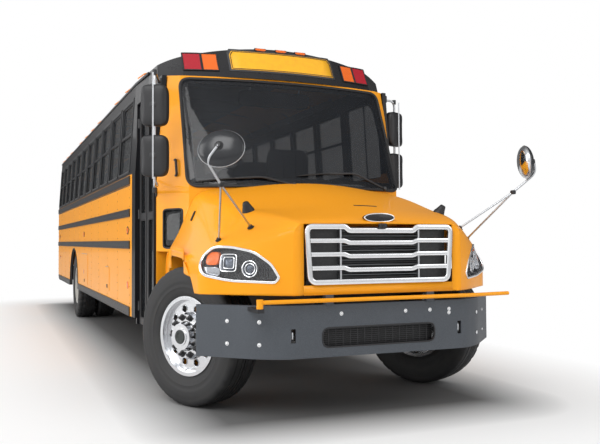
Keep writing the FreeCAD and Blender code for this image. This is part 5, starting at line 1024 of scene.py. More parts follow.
def makeTyre(name, centre, axis, body, node, lugs):
    # the section turned about the axle; lugs cut the shoulder by lowering some of every six steps
    t = tyreShape
    section = tyreSection()
    beyond, low, wide, depth = t["lugs" if lugs else "ribs"]
    ring = circleAbout(axis, around(t["steps"]))
    radius = np.broadcast_to(section[:, 1:], (len(section), t["steps"])).copy()
    shoulder = (np.abs(section[:, 0]) > beyond) & (section[:, 1] > t["radius"] - low)
    radius -= shoulder[:, None] * (np.arange(t["steps"]) % 6 < wide)[None] * depth
    points = np.asarray(centre, float) + section[:, :1, None] * unit(axis) + radius[:, :, None] * ring
    addPiece(name, gridShape(points, wrapRows=True, wrapCols=True), "rubber", body, stands=[node], crease=32)


def ringPlaces(count, radius, axis, start=0.0):
    # places round a circle square to the axis
    return radius * circleAbout(axis, start + 2 * np.pi * np.arange(count) / count)


frontWheel = {
    # profiles as (along the axle, radius); bolts as (radius, height)
    "nuts": (10, 0.143), "nutAt": 0.117, "washer": ((0, .026), (.003, .026), (.003, 0)),
    "nut": ((0, .0225), (.004, .0225), (.005, .01728), (.01872, .01728), (.0208, .0128), (.0208, 0)),
    "stud": ((.0182, .011), (.0325, .011), (.03458, .008), (.03458, 0)),
    "hub": ((.120, .108), (.123, .111), (.125, .108), (.128, .080), (.160, .074), (.168, .069), (.170, .056),
            (.184, .052), (.188, .048), (.188, .032), (.183, .028), (.182, 0)),
    "bolt": (0.0065, 0.006), "bolts": (8, 0.0625), "boltAt": 0.1695,
    "holes": (10, 0.208), "holeAt": 0.0755, "holeRadius": 0.0285,
    "lip": ((.112, .2725), (.117, .280), (.1185, .290), (.117, .2975), (.112, .2992)),
    "dish": ((.0752, .272), (.0765, .262), (.0760, .245), (.0755, .238)), "valve": (0.245, 0.077),
}


def makeFrontWheelDetail(side, label):
    # face dish, rolled edges round the hand holes, nuts with studs, hub cap with its bolts, valve
    joint = joints["spin_front_" + label]
    centre, axis = np.array(joint["pos_m"]), np.array(joint["axis"], float)
    axis = axis if axis[1] * side > 0 else -axis
    w = frontWheel
    body = "front_wheel_" + label
    nut = together(*(lathe(w[key], (0, 0, 0), axis, steps)
                     for key, steps in (("nut", 6), ("stud", 12), ("washer", 20))))
    places = centre + axis * w["nutAt"] + ringPlaces(*w["nuts"], axis)
    addPiece("wheelNuts-" + label, repeated(nut, places), "meshSteel", body, crease=30)
    bolts = repeated(domeHead(*w["bolt"], axis, 8),
                     centre + axis * w["boltAt"] + ringPlaces(*w["bolts"], axis, 0.2))
    addPiece("hubCap-" + label, [lathe(w["hub"], centre, axis, 48), bolts], "hubPaint", body)
    rings = [sweep(place + ringPlaces(24, w["holeRadius"], axis), (0.0035, 8), up=axis, closed=True)
             for place in centre + axis * w["holeAt"] + ringPlaces(*w["holes"], axis)]
    addPiece("handHoleRims-" + label, rings, "alloy", body)
    addPiece("rimLip-" + label, [lathe(w[key], centre, axis, 72) for key in ("lip", "dish")], "alloy", body)
    radius, out = w["valve"]
    start = centre + ringPlaces(10, radius, axis, 0.31)[2] + axis * out
    valve = roundedPath([start - axis * 0.01, start + axis * 0.03,
                         start + axis * 0.052 + unit(start - centre) * 0.012], 0.01, 4)
    addPiece("valve-" + label, sweep(valve, (0.0042, 8)), "bolt", body)


rearWheel = {"nuts": (10, 0.143), "nutAt": 0.016, "nut": ((0, .020), (.022, .019), (.025, .014), (.025, 0)),
             "stud": ((.02, .010), (.036, .010), (.038, .007), (.038, 0)),
             "hub": ((.1195, .100), (.124, .098), (.150, .094), (.158, .088), (.160, .074), (.165, .070),
                     (.165, 0)), "bolt": (0.008, 0.007), "bolts": (8, 0.081), "boltAt": 0.159,
             "holes": (10, 0.208), "cup": ((0.0012, 0), (0.0012, .026), (0.0, .026)), "holeRadius": 0.028,
             "turn": 0.31}


def makeRearWheelDetail(side, label):
    # nuts, hub end with bolts, hand holes as dark cups with rolled edges
    w, centre, axis = rearWheel, np.array(joints["spin_rear_" + label]["pos_m"]), np.array([0.0, side, 0.0])
    face, body = centre + axis * w["nutAt"], "rear_wheels_" + label
    nut = together(lathe(w["nut"], (0, 0, 0), axis, 6), lathe(w["stud"], (0, 0, 0), axis, 10))
    addPiece("wheelNuts-rear-" + label, repeated(nut, face + ringPlaces(*w["nuts"], axis)), "meshSteel", body,
             crease=30)
    bolts = repeated(domeHead(*w["bolt"], axis, 8),
                     centre + axis * w["boltAt"] + ringPlaces(*w["bolts"], axis))
    addPiece("hubEnd-rear-" + label, [lathe(w["hub"], centre, axis, 40), bolts], "chassis", body)
    places = face + ringPlaces(*w["holes"], axis, w["turn"])
    addPiece("handHoles-rear-" + label, [lathe(w["cup"], place, axis, 20) for place in places], "seal", body)
    rims = [sweep(place + axis * 0.001 + ringPlaces(20, w["holeRadius"], axis), (0.003, 8), up=axis,
                  closed=True) for place in places]
    addPiece("handHoleRims-rear-" + label, rims, "rimPaint", body)


for side, label in ((1, "left"), (-1, "right")):
    spin = joints["spin_front_" + label]
    makeTyre("tyre-front-" + label, spin["pos_m"], spin["axis"], "front_wheel_" + label,
             "tyre_front_" + label, False)
    makeFrontWheelDetail(side, label)
    middle = np.array(joints["spin_rear_" + label]["pos_m"])
    for row, shift in (("outer", side), ("inner", -side)):
        makeTyre("tyre-rear-%s-%s" % (label, row), middle + (0, shift * 0.1575, 0), (0, 1, 0),
                 "rear_wheels_" + label, "tyre_rear_%s_%s" % (label, row), True)
    makeRearWheelDetail(side, label)
print("stage 4: wheels and tyres")


mirrorShape = {"side": 1.262, "turn": 27.0, "half": 0.118, "height": 0.344, "depth": 0.096, "upper": 2.183,
               "lower": 1.766, "top": 2.640, "foot": 1.666, "footX": 3.62, "footY": 1.172, "braceX": 3.66,
               "post": 0.0105, "bend": 0.060, "waist": 0.30, "backClamp": (0.016, 0.030, 0.024),
               "places": ((1, 3.550), (-1, 4.000)), "root": 3.570}


def softBlock(half, power=0.42, rows=18, cols=36):
    # a soft block: the cube-like ball of a raised cosine and sine in both turns
    turn, rise = around(cols)[None], np.linspace(-np.pi / 2, np.pi / 2, rows)[:, None]
    level = pull(np.cos(rise), power)
    shares = [level * pull(np.cos(turn), power), level * pull(np.sin(turn), power),
              pull(np.sin(rise), power) * np.ones_like(turn)]
    return gridShape(np.stack(shares, axis=2) * np.asarray(half, float), wrapCols=True)


def turnTable(angle):
    c, s = math.cos(math.radians(angle)), math.sin(math.radians(angle))
    return np.array([[c, -s, 0], [s, c, 0], [0, 0, 1]])


def wallY(z):
    # the side's half width: upright to the window sill, then leaning in to the eave
    above, lean = np.maximum(0.0, z - wall["sill"]), wall["half"] - wall["eaveHalf"]
    return wall["half"] - above * lean / (wall["eave"] - wall["sill"])


def makeSideMirrors():
    # soft-edged heads with a waist on their backs, mirror faces to the rear, grey posts, brackets and clamps
    m = mirrorShape
    deep, half, tall = m["depth"] / 2, m["half"], m["height"] / 2
    top, low, foot = m["top"], m["foot"], m["footY"]
    heads, faces, posts, clamps = [], [], [], []
    for side, x in m["places"]:
        turn = turnTable(side * m["turn"])
        y = side * m["side"]
        for z in (m["upper"], m["lower"]):
            centre = np.array([x, y, z + tall])
            points, cells = softBlock((deep, half, tall))
            waist = 1 - m["waist"] * np.clip(points[:, 0] / deep, 0,
                                             1) * np.cos(points[:, 2] / tall * np.pi / 2)
            points = points * np.stack([np.ones(len(points)), waist, np.ones(len(points))], axis=1)
            heads.append(changed((points, cells), turn, centre))
            face = softBlock((0.004, half * 0.90, tall * 0.92), 0.3, 12, 32)
            faces.append(changed(face, turn, centre + turn @ (0.0005 - deep, 0, 0)))
            clamps.append(changed(softBlock(m["backClamp"], 0.4, 10, 16), turn,
                                  centre + turn @ (deep - 0.012, 0, 0)))
            clamps.append(sweep([(x, y, centre[2] - 0.02), (x, y, centre[2] + 0.02)], (0.020, 16)))
        wallTop = wallY(top)
        path = [(m["root"], side * (wallTop - 0.041), top), (x, y, top), (x, y, low),
                (m["footX"], side * foot, low)]
        posts.append(sweep(roundedPath(path, m["bend"], 8), (m["post"], 14)))
        ahead, aside = (turn @ (deep + 0.006, 0, 0))[:2]
        flat = np.linspace((x + ahead, y + aside, low + 0.08), (x + ahead, y + aside, top - 0.02), 8)
        posts.append(sweep(flat, (0.013, 0.006, 0.6, 10), up=(1, 0, 0)))
        for z in (top, low):
            clamps.append(sweep([(x, y, z - 0.03), (x, y, z + 0.012)], (0.018, 14)))
        brace = [(x, y, low + 0.02), (x - 0.10, y - side * 0.05, low + 0.03),
                 (m["braceX"], side * (foot + 0.006), low + 0.10)]
        posts.append(sweep(roundedPath(brace, 0.04, 6), (0.007, 10)))
        for plate, placeX, placeY, z in (((0.030, 0.010, 0.036), 3.60, wallTop - 0.046, top),
                                         ((0.034, 0.010, 0.040), 3.625, foot, low)):
            clamps.append(moved(softBlock(plate, 0.35, 10, 20), (placeX, side * placeY, z)))
    addPiece("sideMirrorHeads", heads, "plastic", stands=["side_mirrors"])
    addPiece("sideMirrorFaces", faces, "mirror")
    addPiece("sideMirrorPosts", posts, "steel")
    addPiece("sideMirrorClamps", clamps, "band")


domeShape = {"halfWidth": 0.155, "halfHeight": 0.125, "halfDepth": 0.052, "y": 1.176, "z": 1.812,
             "front": 5.740, "looks": ((1, -.45, -.88, -.10), (-1, -.80, .55, -.25)), "out": 0.095,
             "drop": 0.078, "collar": ((0, 0), (0, .030), (.004, .030), (.010, .018), (.020, .015),
                                       (.020, 0)), "knuckle": (0.020, 0.016, 0.016),
             "foot": ((0, .026), (.004, .026), (.006, .016), (.018, .012), (.018, 0)),
             "joint": (5.493, 1.146, 1.595), "feet": ((5.067, 1.032), (5.227, 0.852)), "strut": 0.0085}


def hoodTop(x, y):
    # height of the hood at a place, from the section there
    section = hoodSections(np.array([x, x + 0.01]))[0]
    half = section[section[:, 0] >= -0.001]
    return float(np.interp(abs(y), half[::-1, 0], half[::-1, 1]))


def makeCrossMirrors():
    # egg-shaped shells with a bright face and a grey rim, each on a bent arm with struts and foot plates
    d = domeShape
    backs, faces, rims, bars, blocks = [], [], [], [], []
    half = np.array([d["halfDepth"], d["halfWidth"], d["halfHeight"]])
    frames = []
    for side, ahead, across, up in d["looks"]:
        look = unit((ahead, across, up))
        flat = unit(np.cross((0, 0, 1), look))
        frames.append((side, look, np.stack([look, flat, np.cross(look, flat)], axis=1)))
    reach = max(np.linalg.norm(half * table[0]) for side, look, table in frames)
    turn, tilt = around(48), np.linspace(0, np.pi / 2, 14)[:, None]
    for side, look, table in frames:
        centre = np.array([d["front"] - reach, side * d["y"], d["z"]])
        for store, sign, share in ((faces, 1, 0.97), (backs, -1, 0.985)):
            rows = np.stack([np.broadcast_to(np.sin(tilt) * sign * half[0], (14, 48)),
                             np.cos(tilt) * np.cos(turn) * half[1] * share,
                             np.cos(tilt) * np.sin(turn) * half[2] * share], axis=2)
            store.append(gridShape(rows @ table.T + centre, wrapCols=True))
        ring = np.stack([0 * turn, np.cos(turn) * half[1] * 0.972, np.sin(turn) * half[2] * 0.968], axis=1)
        rims.append(sweep(ring @ table.T + centre, (0.0042, 10), up=look, closed=True))
        joint = np.array(d["joint"]) * (1, side, 1)
        elbow = centre + (0, side * d["out"], -d["drop"])
        start = centre - look * (half[0] - 0.004)
        blocks.append(lathe(d["collar"], start, -look, 24))
        for k in range(3):
            place = start - look * 0.004 + table @ (0, .021 * math.cos(2.1 * k), .021 * math.sin(2.1 * k))
            blocks.append(moved(domeHead(0.005, 0.005, -look, 8), place))
        bars.append(sweep(roundedPath([start - look * 0.014, elbow, joint], [0, 0.05, 0], 10),
                          (d["strut"], 12)))
        for footX, footY in d["feet"]:
            foot = np.array([footX, side * footY, hoodTop(footX, footY)])
            bars.append(sweep(np.linspace(foot, joint, 4), (d["strut"] * 0.85, 12)))
            blocks.append(lathe(d["foot"], foot + (0, 0, -0.002), (0.25, side * 0.45, 0.85), 20))
        blocks.append(moved(softBlock(d["knuckle"], 0.5, 10, 16), joint))
    addPiece("crossMirrorBacks", backs, "dome", "hood_body", stands=["cross_mirrors"])
    for name, shapes, finish in (("Faces", faces, "mirror"), ("Rims", rims, "steel"), ("Bars", bars, "steel"),
                                 ("Feet", blocks, "plastic")):
        addPiece("crossMirror" + name, shapes, finish, "hood_body")


makeSideMirrors()
makeCrossMirrors()
print("stage 5: mirrors")


sideShape = {"first": 1.829, "pitch": 0.750, "count": 11, "width": 0.655, "low": 1.935, "high": 2.670,
             "sash": 2.330, "back": -5.624, "frontEnd": 2.621, "bar": (0.020, 0.014, 0.5, 8),
             "slim": (0.016, 0.012, 0.5, 8), "corner": 0.025, "edge": 0.004, "inset": 0.018,
             "upperIn": -0.011, "lowerIn": -0.020, "latch": (.12, .17), "lip": (0.012, 0.008, 0.5, 8),
             "driver": (2.730, 3.490, 1.875, 2.670), "driverIn": -0.018, "driverCorner": 0.05}


def onWall(x, z, out):
    # places on the driver's side wall, a distance outside it
    z = np.asarray(z, float)
    return np.stack([np.broadcast_to(x, z.shape), wallY(z) + out, z], axis=-1)


def wallLoop(x0, x1, z0, z1, out, corner, steps=6):
    loop = roundedPath([(x0, 0, z0), (x1, 0, z0), (x1, 0, z1), (x0, 0, z1)], corner, steps, True)
    return onWall(loop[:, 0], loop[:, 2], out)


def makeSashes():
    # two sashes to a window: outer frame, upper sash, lower sash set further in, latches and a drip lip
    s = sideShape
    x1 = axleX - s["first"] - (s["pitch"] - s["width"]) / 2
    x0 = x1 - s["width"]
    edge, inset = s["edge"], s["inset"]
    # inset at the sides, foot, head, distance out of the wall, corner and section
    bars = ((edge, s["low"] + edge, s["high"] - edge, 0.001, s["corner"] + 0.010, s["bar"]),
            (inset, s["sash"] - .006, s["high"] - inset, s["upperIn"], s["corner"], s["slim"]),
            (inset, s["low"] + inset, s["sash"] + .010, s["lowerIn"], s["corner"], s["slim"]))
    frames = [sweep(wallLoop(x0 + side, x1 - side, low, high, out, corner, 5), section, up=(0, 1, 0),
                    closed=True) for side, low, high, out, corner, section in bars]
    near, far = s["latch"]
    latches = [block(onWall(a, s["sash"] - .012, -0.008), onWall(b, s["sash"] + .002, -0.002))
               for a, b in ((x0 + near, x0 + far), (x1 - far, x1 - near))]
    lip = onWall(np.array([x0 - 0.01, x1 + 0.01]), np.full(2, s["high"] + 0.012), 0.003)
    places = np.arange(s["count"])[:, None] * (-s["pitch"], 0, 0)
    for name, shape, finish in (("sashFrames", together(*frames), "sash"),
                                ("sashLatches", together(*latches), "steel"),
                                ("windowLips", sweep(lip, s["lip"], up=(0, 1, 0)), "sash")):
        addPiece(name, bothSides(repeated(shape, places)), finish)
    d0, d1, low, high = s["driver"]
    loop = wallLoop(d0 + edge, d1 - edge, low + edge, high - edge, s["driverIn"], s["driverCorner"], 6)
    post = onWall(np.full(2, (d0 + d1) / 2), np.array([low, high]), s["driverIn"] - 0.008)
    addPiece("driverSash", [sweep(loop, s["bar"], up=(0, 1, 0), closed=True),
                            sweep(post, s["slim"], up=(0, 1, 0))], "sash")


trimShape = {
    "rivet": (0.0065, 0.0028), "rivetPitch": 0.125, "rowY": 1.2318,
    "rows": (1.828, 1.878, 1.503, 1.545, 1.184, 1.227),
    "skirtRows": (0.515, 0.572), "archClear": 0.64, "archTop": 1.19, "cornerClear": 0.33, "seamRivet": 0.03,
    "seamY": 1.2198,
    "seamPitch": 0.085, "seamSpans": ((0.62, 1.15), (1.27, 1.47), (1.59, 1.79)),
    "laps": ((0.590, 1.164), (1.247, 1.483), (1.565, 1.808)), "lapHalf": 0.012, "lapY": (1.2195, 1.2212),
    "gutterZ": 2.815, "gutterEnd": (3.15, 1.145, 2.815), "sillZ": 1.800, "arch": 0.606, "well": 0.600,
    "wellY": (1.214, 1.180),
    # profiles as (out of the wall, radius); places of round lamps and of flat reflectors
    "lens": ((0, .032), (.006, .031), (.010, .024), (.0115, .012), (.0118, 0)),
    "ring": ((-.001, .040), (.005, .040), (.007, .036), (.006, .031), (0, .031)),
    "eye": ((0, .036), (.004, .036), (.005, .030), (.005, 0)),
    "amber": (((2.50, 0, 1.350), (-1.25, 0, 1.350)), ((2.50, 0, 0.80), (-1.25, 0, 0.80))),
    "red": (((-5.30, 0, 1.350),), ((-5.20, 0, 0.95),)),
}


def makeSideTrim():
    # rivets, panel seams, drip rails at the eaves, wheel-arch lips and wells, sill lips and small lamps
    s, t = sideShape, trimShape
    rows = []
    x = np.arange(s["back"] + 0.06, s["frontEnd"] - 0.02, t["rivetPitch"])
    skirt = x[np.abs(x - rearAxleX) > t["archClear"]]
    skirt = skirt[skirt > s["back"] + t["cornerClear"]]
    for places, heights in ((x, t["rows"]), (skirt, t["skirtRows"])):
        for z in heights:
            rows.append(np.stack([places, np.full_like(places, t["rowY"]), np.full_like(places, z)], axis=1))
    seams = axleX - s["first"] - s["pitch"] * np.arange(0, s["count"] + 1)
    laps = []
    for seam in seams:
        beside = seam - t["seamRivet"]
        z = np.concatenate([np.arange(*span, t["seamPitch"]) for span in t["seamSpans"]])
        if abs(beside - rearAxleX) < t["archClear"] + 0.02:
            z = z[z > t["archTop"]]
        rows.append(np.stack([np.full_like(z, beside), np.full_like(z, t["seamY"]), z], axis=1))
        for z0, z1 in t["laps"]:
            if abs(seam - rearAxleX) >= t["archClear"] - 0.02 or z0 > t["archTop"]:
                laps.append(block((seam - t["lapHalf"], t["lapY"][0], z0),
                                  (seam + t["lapHalf"], t["lapY"][1], z1)))
    addPiece("sideRivets", bothSides(repeated(domeHead(*t["rivet"], (0, 1, 0), 6), np.concatenate(rows))),
             "sash")
    addPiece("panelLaps", bothSides(laps), "yellow", bevel=0.0006)
    start, z = s["back"] + 0.01, t["gutterZ"]
    gutter = np.concatenate([onWall(np.array([start, s["frontEnd"]]), np.array([z, z]), 0.004),
                             [t["gutterEnd"]]])
    sill = [(start, wall["half"] - 0.001, t["sillZ"]), (s["frontEnd"], wall["half"] - 0.001, t["sillZ"])]
    turn = np.linspace(math.radians(-2), math.radians(182), 60)
    ring = np.stack([np.cos(turn), 0 * turn, np.sin(turn)], axis=1)
    middle = np.array([rearAxleX, 0, tyreShape["radius"]])
    arch, well = middle + (0, wall["half"] + 0.0005, 0) + t["arch"] * ring, middle + t["well"] * ring
    for name, path, section, up, finish in (("dripRails", gutter, (0.014, 0.026, 0.5, 10), (0, 0, 1), "band"),
                                            ("sillLips", sill, (0.006, 0.010, 0.5, 8), (0, 0, 1), "band"),
                                            ("archLips", arch, (0.016, 0.018, 0.5, 10), (0, 1, 0), "seal")):
        addPiece(name, bothSides(sweep(path, section, up=up)), finish)
    addPiece("archWells", bothSides(gridShape(np.stack([well + (0, y, 0) for y in t["wellY"]]))), "chassis",
             thick=0.003)
    lens, ring, eye = (lathe(t[key], (0, wall["half"], 0), (0, 1, 0), steps)
                       for key, steps in (("lens", 24), ("ring", 28), ("eye", 24)))
    for name, key, finish in (("sideMarkersAmber", "amber", "amber"), ("sideMarkersRed", "red", "red")):
        addPiece(name, bothSides([repeated(lens, t[key][0]), repeated(eye, t[key][1])]), finish)
    addPiece("sideMarkerRings", bothSides(repeated(ring, t["amber"][0] + t["red"][0])), "seal")


hatchDoors = {
    # side, then from x to x and from z to z
    "places": ((-1, 0.95, 1.25, 0.66, 0.94), (1, 1.55, 2.20, 0.62, 1.06), (1, -0.30, 0.35, 0.62, 1.06),
               (-1, -1.55, -0.80, 0.62, 1.06)),
    "corner": 0.03, "raised": 0.003, "latch": (0.035, 0.004, 0.022), "latchUp": 0.055,
}


def makeHatchDoors():
    # small doors in the skirt, raised by a bevelled edge, each with a hinge and a latch
    doors, hinges, latches = [], [], []
    for side, x0, x1, z0, z1 in hatchDoors["places"]:
        loop = roundedPath([(x0, 0, z0), (x1, 0, z0), (x1, 0, z1), (x0, 0, z1)], hatchDoors["corner"], 5,
                           True)
        outer = np.column_stack([loop[:, 0], np.full(len(loop), side * (wall["half"] + 0.0005)), loop[:, 2]])
        lifted = outer + (0, side * hatchDoors["raised"], 0)
        middle = lifted.mean(axis=0)
        rings = [outer, lifted] + [(lifted - middle) * (share, 1, share) + middle for share in (0.5, 0)]
        doors.append(gridShape(np.stack(rings), wrapCols=True))
        y, inset = side * (wall["half"] + 0.004), 0.05
        hinges.append(sweep([(x0 + inset, y, z1 + 0.004), (x1 - inset, y, z1 + 0.004)], (0.004, 8)))
        place = ((x0 + x1) / 2, side * (wall["half"] + 0.005), z0 + hatchDoors["latchUp"])
        latches.append(moved(softBlock(hatchDoors["latch"], 0.5, 8, 20), place))
    addPiece("skirtDoors", doors, "yellow")
    addPiece("skirtHinges", hinges, "steel")
    addPiece("skirtLatches", latches, "band")


stopShape = {"size": 0.450, "gap": 0.03, "y": 1.2705, "z": 1.690,
             "faces": ((1.2702, 0.001), (1.2518, -0.001)), "lampRise": 0.135,
             "lamp": ((0, .038), (.006, .037), (.012, .028), (.014, 0)),
             "rim": ((0, .045), (.006, .045), (.008, .040), (0, .038))}


def makeStopArm():
    # a white border ring on each face of the blank red plate, and two red lamps with black rims
    s = stopShape
    rest = joints["stop_arm_swing"]["pos_m"]
    centre = np.array([rest[0] - s["size"] / 2 - s["gap"], s["y"], s["z"]])
    corner = np.arange(8) * np.pi / 4 + np.pi / 8
    outer = s["size"] / 2 / math.cos(math.pi / 8)
    faces = []
    for y, proud in s["faces"]:
        rings = [np.stack([centre[0] + outer * share * np.cos(corner), np.full(8, y + lift * proud),
                           centre[2] + outer * share * np.sin(corner)], axis=1)
                 for share, lift in ((0.985, 0), (0.980, 1), (0.90, 1), (0.895, 0))]
        faces.append(gridShape(np.stack(rings), wrapCols=True))
    addPiece("stopArmBorder", faces, "signWhite", "stop_sign_arm")
    for name, key, finish in (("stopArmLamps", "lamp", "red"), ("stopArmRings", "rim", "band")):
        shapes = [lathe(s[key], centre + (0, -0.0005, rise), (0, 1, 0), 28)
                  for rise in (-s["lampRise"], s["lampRise"])]
        addPiece(name, shapes, finish, "stop_sign_arm")


doorTrim = {
    # leaf, its meeting edge, its panes from x to x
    "leaves": (("front", 3.2165, 3.277, 3.508), ("rear", 3.2035, 2.912, 3.143)),
    "sealY": -1.158, "sealZ": (0.470, 2.530), "paneY": -1.163, "panes": ((0.512, 1.440), (1.500, 2.488)),
    "corner": 0.03,
    "rail": ((2.90, -1.05, 1.25), (2.90, -0.98, 1.25), (2.90, -0.75, 1.75), (2.90, -0.62, 1.80),
             (2.90, -0.62, 1.12)),
}


def makeDoorDetail():
    # rubber where the leaves meet, a gasket round each pane, and a grab rail inside
    d = doorTrim
    for name, edge, x0, x1 in d["leaves"]:
        seal = sweep([(edge, d["sealY"], z) for z in d["sealZ"]], (0.005, 0.030, 0.6, 8), up=(0, 1, 0))
        addPiece("doorSeal-" + name, seal, "seal", "door_leaf_" + name)
    for name, edge, x0, x1 in d["leaves"]:
        y = d["paneY"]
        loops = [roundedPath([(x0, y, z0), (x1, y, z0), (x1, y, z1), (x0, y, z1)], d["corner"], 6, True)
                 for z0, z1 in d["panes"]]
        gaskets = [sweep(loop, (0.014, 0.012, 0.6, 8), up=(0, 1, 0), closed=True) for loop in loops]
        addPiece("doorGasket-" + name, gaskets, "seal", "door_leaf_" + name)
    addPiece("entryRails", sweep(roundedPath(d["rail"], 0.05, 6), (0.014, 12)), "steel")


makeSashes()
makeSideTrim()
makeHatchDoors()
makeStopArm()
makeDoorDetail()
print("stage 6: sides and doors")


visionShape = {"inner": 1.020, "outer": 1.130, "low": 1.180, "high": 1.510, "corner": 0.025}


def onCowl(y, z, proud):
    # places on the cowl's outer surface, a distance in front of it
    y, z = np.broadcast_arrays(np.asarray(y, float), np.asarray(z, float))
    return np.stack([cowlX(y.ravel(), z.ravel()).reshape(y.shape) + proud, y, z], axis=-1)


def makeVisionWindows():
    # small low corner windows: curved dark pane with a rubber seal, one each side
    v = visionShape
    loop = roundedPath([(0, v["inner"], v["low"]), (0, v["outer"], v["low"]), (0, v["outer"], v["high"]),
                        (0, v["inner"], v["high"])], v["corner"], 6, True)
    centre = loop.mean(axis=0)
    rings = np.stack([onCowl(*(centre + share * (loop - centre))[:, 1:].T, -0.006)
                      for share in (1.0, 0.6, 0.0)])
    addPiece("visionPanes", bothSides(gridShape(rings, wrapCols=True)), "doorGlass", thick=0.004)
    seal = sweep(onCowl(loop[:, 1], loop[:, 2], 0.001), (0.014, 0.012, 0.6, 10), up=(0.8, 0.6, 0),
                 closed=True)
    addPiece("visionSeals", bothSides(seal), "seal")


wiperShape = {"z": 1.706, "proud": 0.034, "half": 0.31, "arm": (0.016, 0.007, 0.5, 10),
              "hub": ((-.012, .020), (.010, .020), (.018, .014), (.020, 0)),
              # pivot, middle of the blade, its height there, its slope
              "sets": ((-0.150, -0.630, 1.757, 0.06), (0.800, 0.200, 1.815, 0.07))}


def makeWipers():
    # two arms from pivots in the cowl, each with a sprung blade lying low across the glass
    w = wiperShape
    arms, blades, hubs = [], [], []
    for pivot, reach, high, slope in w["sets"]:
        base = onCowl(pivot, w["z"], 0.016)
        hubs.append(lathe(w["hub"], base, (1, 0, 0.2), 20))
        middle = onCowl(pivot * 0.45 + reach * 0.55, high + 0.012, w["proud"] + 0.006)
        arms.append(sweep(roundedPath([base, middle, onCowl(reach, high, w["proud"])], 0.05, 6), w["arm"],
                          up=(1, 0, 0)))
        y = np.linspace(reach - w["half"], reach + w["half"], 16)
        rise = high + slope * (y - reach) - 0.010 * ((y - reach) / w["half"]) ** 2
        blades.append(sweep(onCowl(y, rise, 0.018), (0.008, 0.014, 0.5, 8), up=(1, 0, 0)))
        blades.append(sweep(onCowl(y[1:-1], rise[1:-1], 0.029), (0.012, 0.006, 0.5, 8), up=(1, 0, 0)))
    addPiece("wiperArms", arms + hubs, "band")
    addPiece("wiperBlades", blades, "seal")


cowlHandle = {"y": -1.055, "z": (1.795, 1.930), "out": 0.036}


def makeCowlHandle():
    # black grab handle on the curb-side corner post
    across, out = cowlHandle["y"], cowlHandle["out"]
    low, high = cowlHandle["z"]
    ends = [onCowl(across, z, proud) for z, proud in ((low, -0.002), (low, out), (high, out), (high, -0.002))]
    addPiece("cowlHandle", sweep(roundedPath(ends, 0.016, 5), (0.011, 12)), "plastic")


badgeShape = {"x": 5.488, "z": 1.394, "half": (0.116, 0.028), "camera": (5.536, 1.334),
              "slit": (0.020, 0.210), "cameraHalf": (0.018, 0.030, 0.019),
              "lens": ((0, 0), (0.004, 0.005), (0.003, 0.010), (0.000, 0.011), (-0.006, 0.011)),
              "slitRows": ((5.056, 0.0015), (5.062, 0.003), (5.072, 0.003), (5.078, 0.0015)),
              "slot": (4.250, 1.440), "slotHalf": (0.014, 0.006, 0.040), "slotLean": .45,
              "cone": (5.020, 0.800),
              "coneProfile": ((-.010, .046), (.008, .044), (.020, .038), (.045, .029), (.066, .022),
                              (.072, .016), (.073, 0))}


def makeHoodDetail():
    # blank oval plate with a bright rim on the nose, a small camera under it, and on the top a black strip as
    # painted shade for a latch slot
    b = badgeShape
    turn = around(48)
    loop = np.stack([pull(np.cos(turn), 0.8) * b["half"][0], np.sin(turn) * b["half"][1]], axis=1)
    ahead = np.array([b["x"] + 0.008 - 0.5 * loop[:, 0] ** 2, loop[:, 0], b["z"] + loop[:, 1]]).T
    centre = np.array([b["x"] + 0.010, 0, b["z"]])
    rings = [centre + share * (ahead - centre) + (0.006 * (1 - share ** 2), 0, 0)
             for share in (1.0, 0.85, 0.5, 0.0)]
    addPiece("hoodPlate", gridShape(np.stack([ahead - (0.030, 0, 0), *rings]), wrapCols=True), "gloss",
             "hood_body")
    rim = sweep(ahead + (0.002, 0, 0), (0.008, 0.010, 0.6, 10), up=(1, 0, 0), closed=True)
    addPiece("hoodPlateRim", rim, "chrome", "hood_body")
    eye = np.array([b["camera"][0], 0.0, b["camera"][1]])
    addPiece("noseCamera", moved(softBlock(b["cameraHalf"], 0.45, 12, 24), eye), "plastic", "hood_body")
    lens = lathe(b["lens"], eye + (b["cameraHalf"][0], 0, -0.002), (1, 0, -0.15), 24)
    addPiece("noseCameraLens", lens, "gloss", "hood_body")
    # painted shade: a thin black strip laid on the hood stands in for the shadowed inside of the slot
    y = np.linspace(*b["slit"], 15)
    rows = [[(x, at, hoodTop(x, at) + lift) for at in y] for x, lift in b["slitRows"]]
    addPiece("hoodSlot", gridShape(np.array(rows)), "band", "hood_body", thick=0.003)
    x, z = b["slot"]
    section = hoodSections(np.array([x, x + 0.01]))[0]
    half = section[section[:, 0] > 0]
    out, lean = float(np.interp(z, half[:, 1], half[:, 0])), b["slotLean"]
    slots = [changed(softBlock(b["slotHalf"], 0.4, 12, 20),
                     ((1, 0, 0), (0, 1, -side * lean), (0, side * lean, 1)), (x, side * (out + 0.004), z))
             for side in (1, -1)]
    x, y = b["cone"]
    cones = [lathe(b["coneProfile"], (x, side * y, hoodTop(x, y)), (0.30, side * 0.42, 0.85), 24)
             for side in (1, -1)]
    addPiece("hoodSideSlots", slots, "seal", "hood_body")
    addPiece("hoodCones", cones, "plastic", "hood_body")


makeVisionWindows()
makeWipers()
makeCowlHandle()
makeHoodDetail()
print("stage 7: corner windows, wipers and hood fittings")


roofBowShift = 0.0475
seatShape = {"rows": 10, "front": 2.100, "pitch": 0.715, "depth": 0.420, "side": 0.660, "half": 0.495,
             "low": 1.445, "thick": 0.110, "backDepth": 0.090, "backHigh": 0.750, "crown": 0.016}


padForm = {"roundness": 0.36, "channelSteps": (-0.045, -0.018, 0.0, 0.018, 0.045), "channelWidth": 0.016,
           "groove": 0.005, "welt": 0.0045, "weltIn": 0.965}
standing = ((0, 0, 1), (0, 1, 0), (1, 0, 0))  # a pad's top turned to face forward


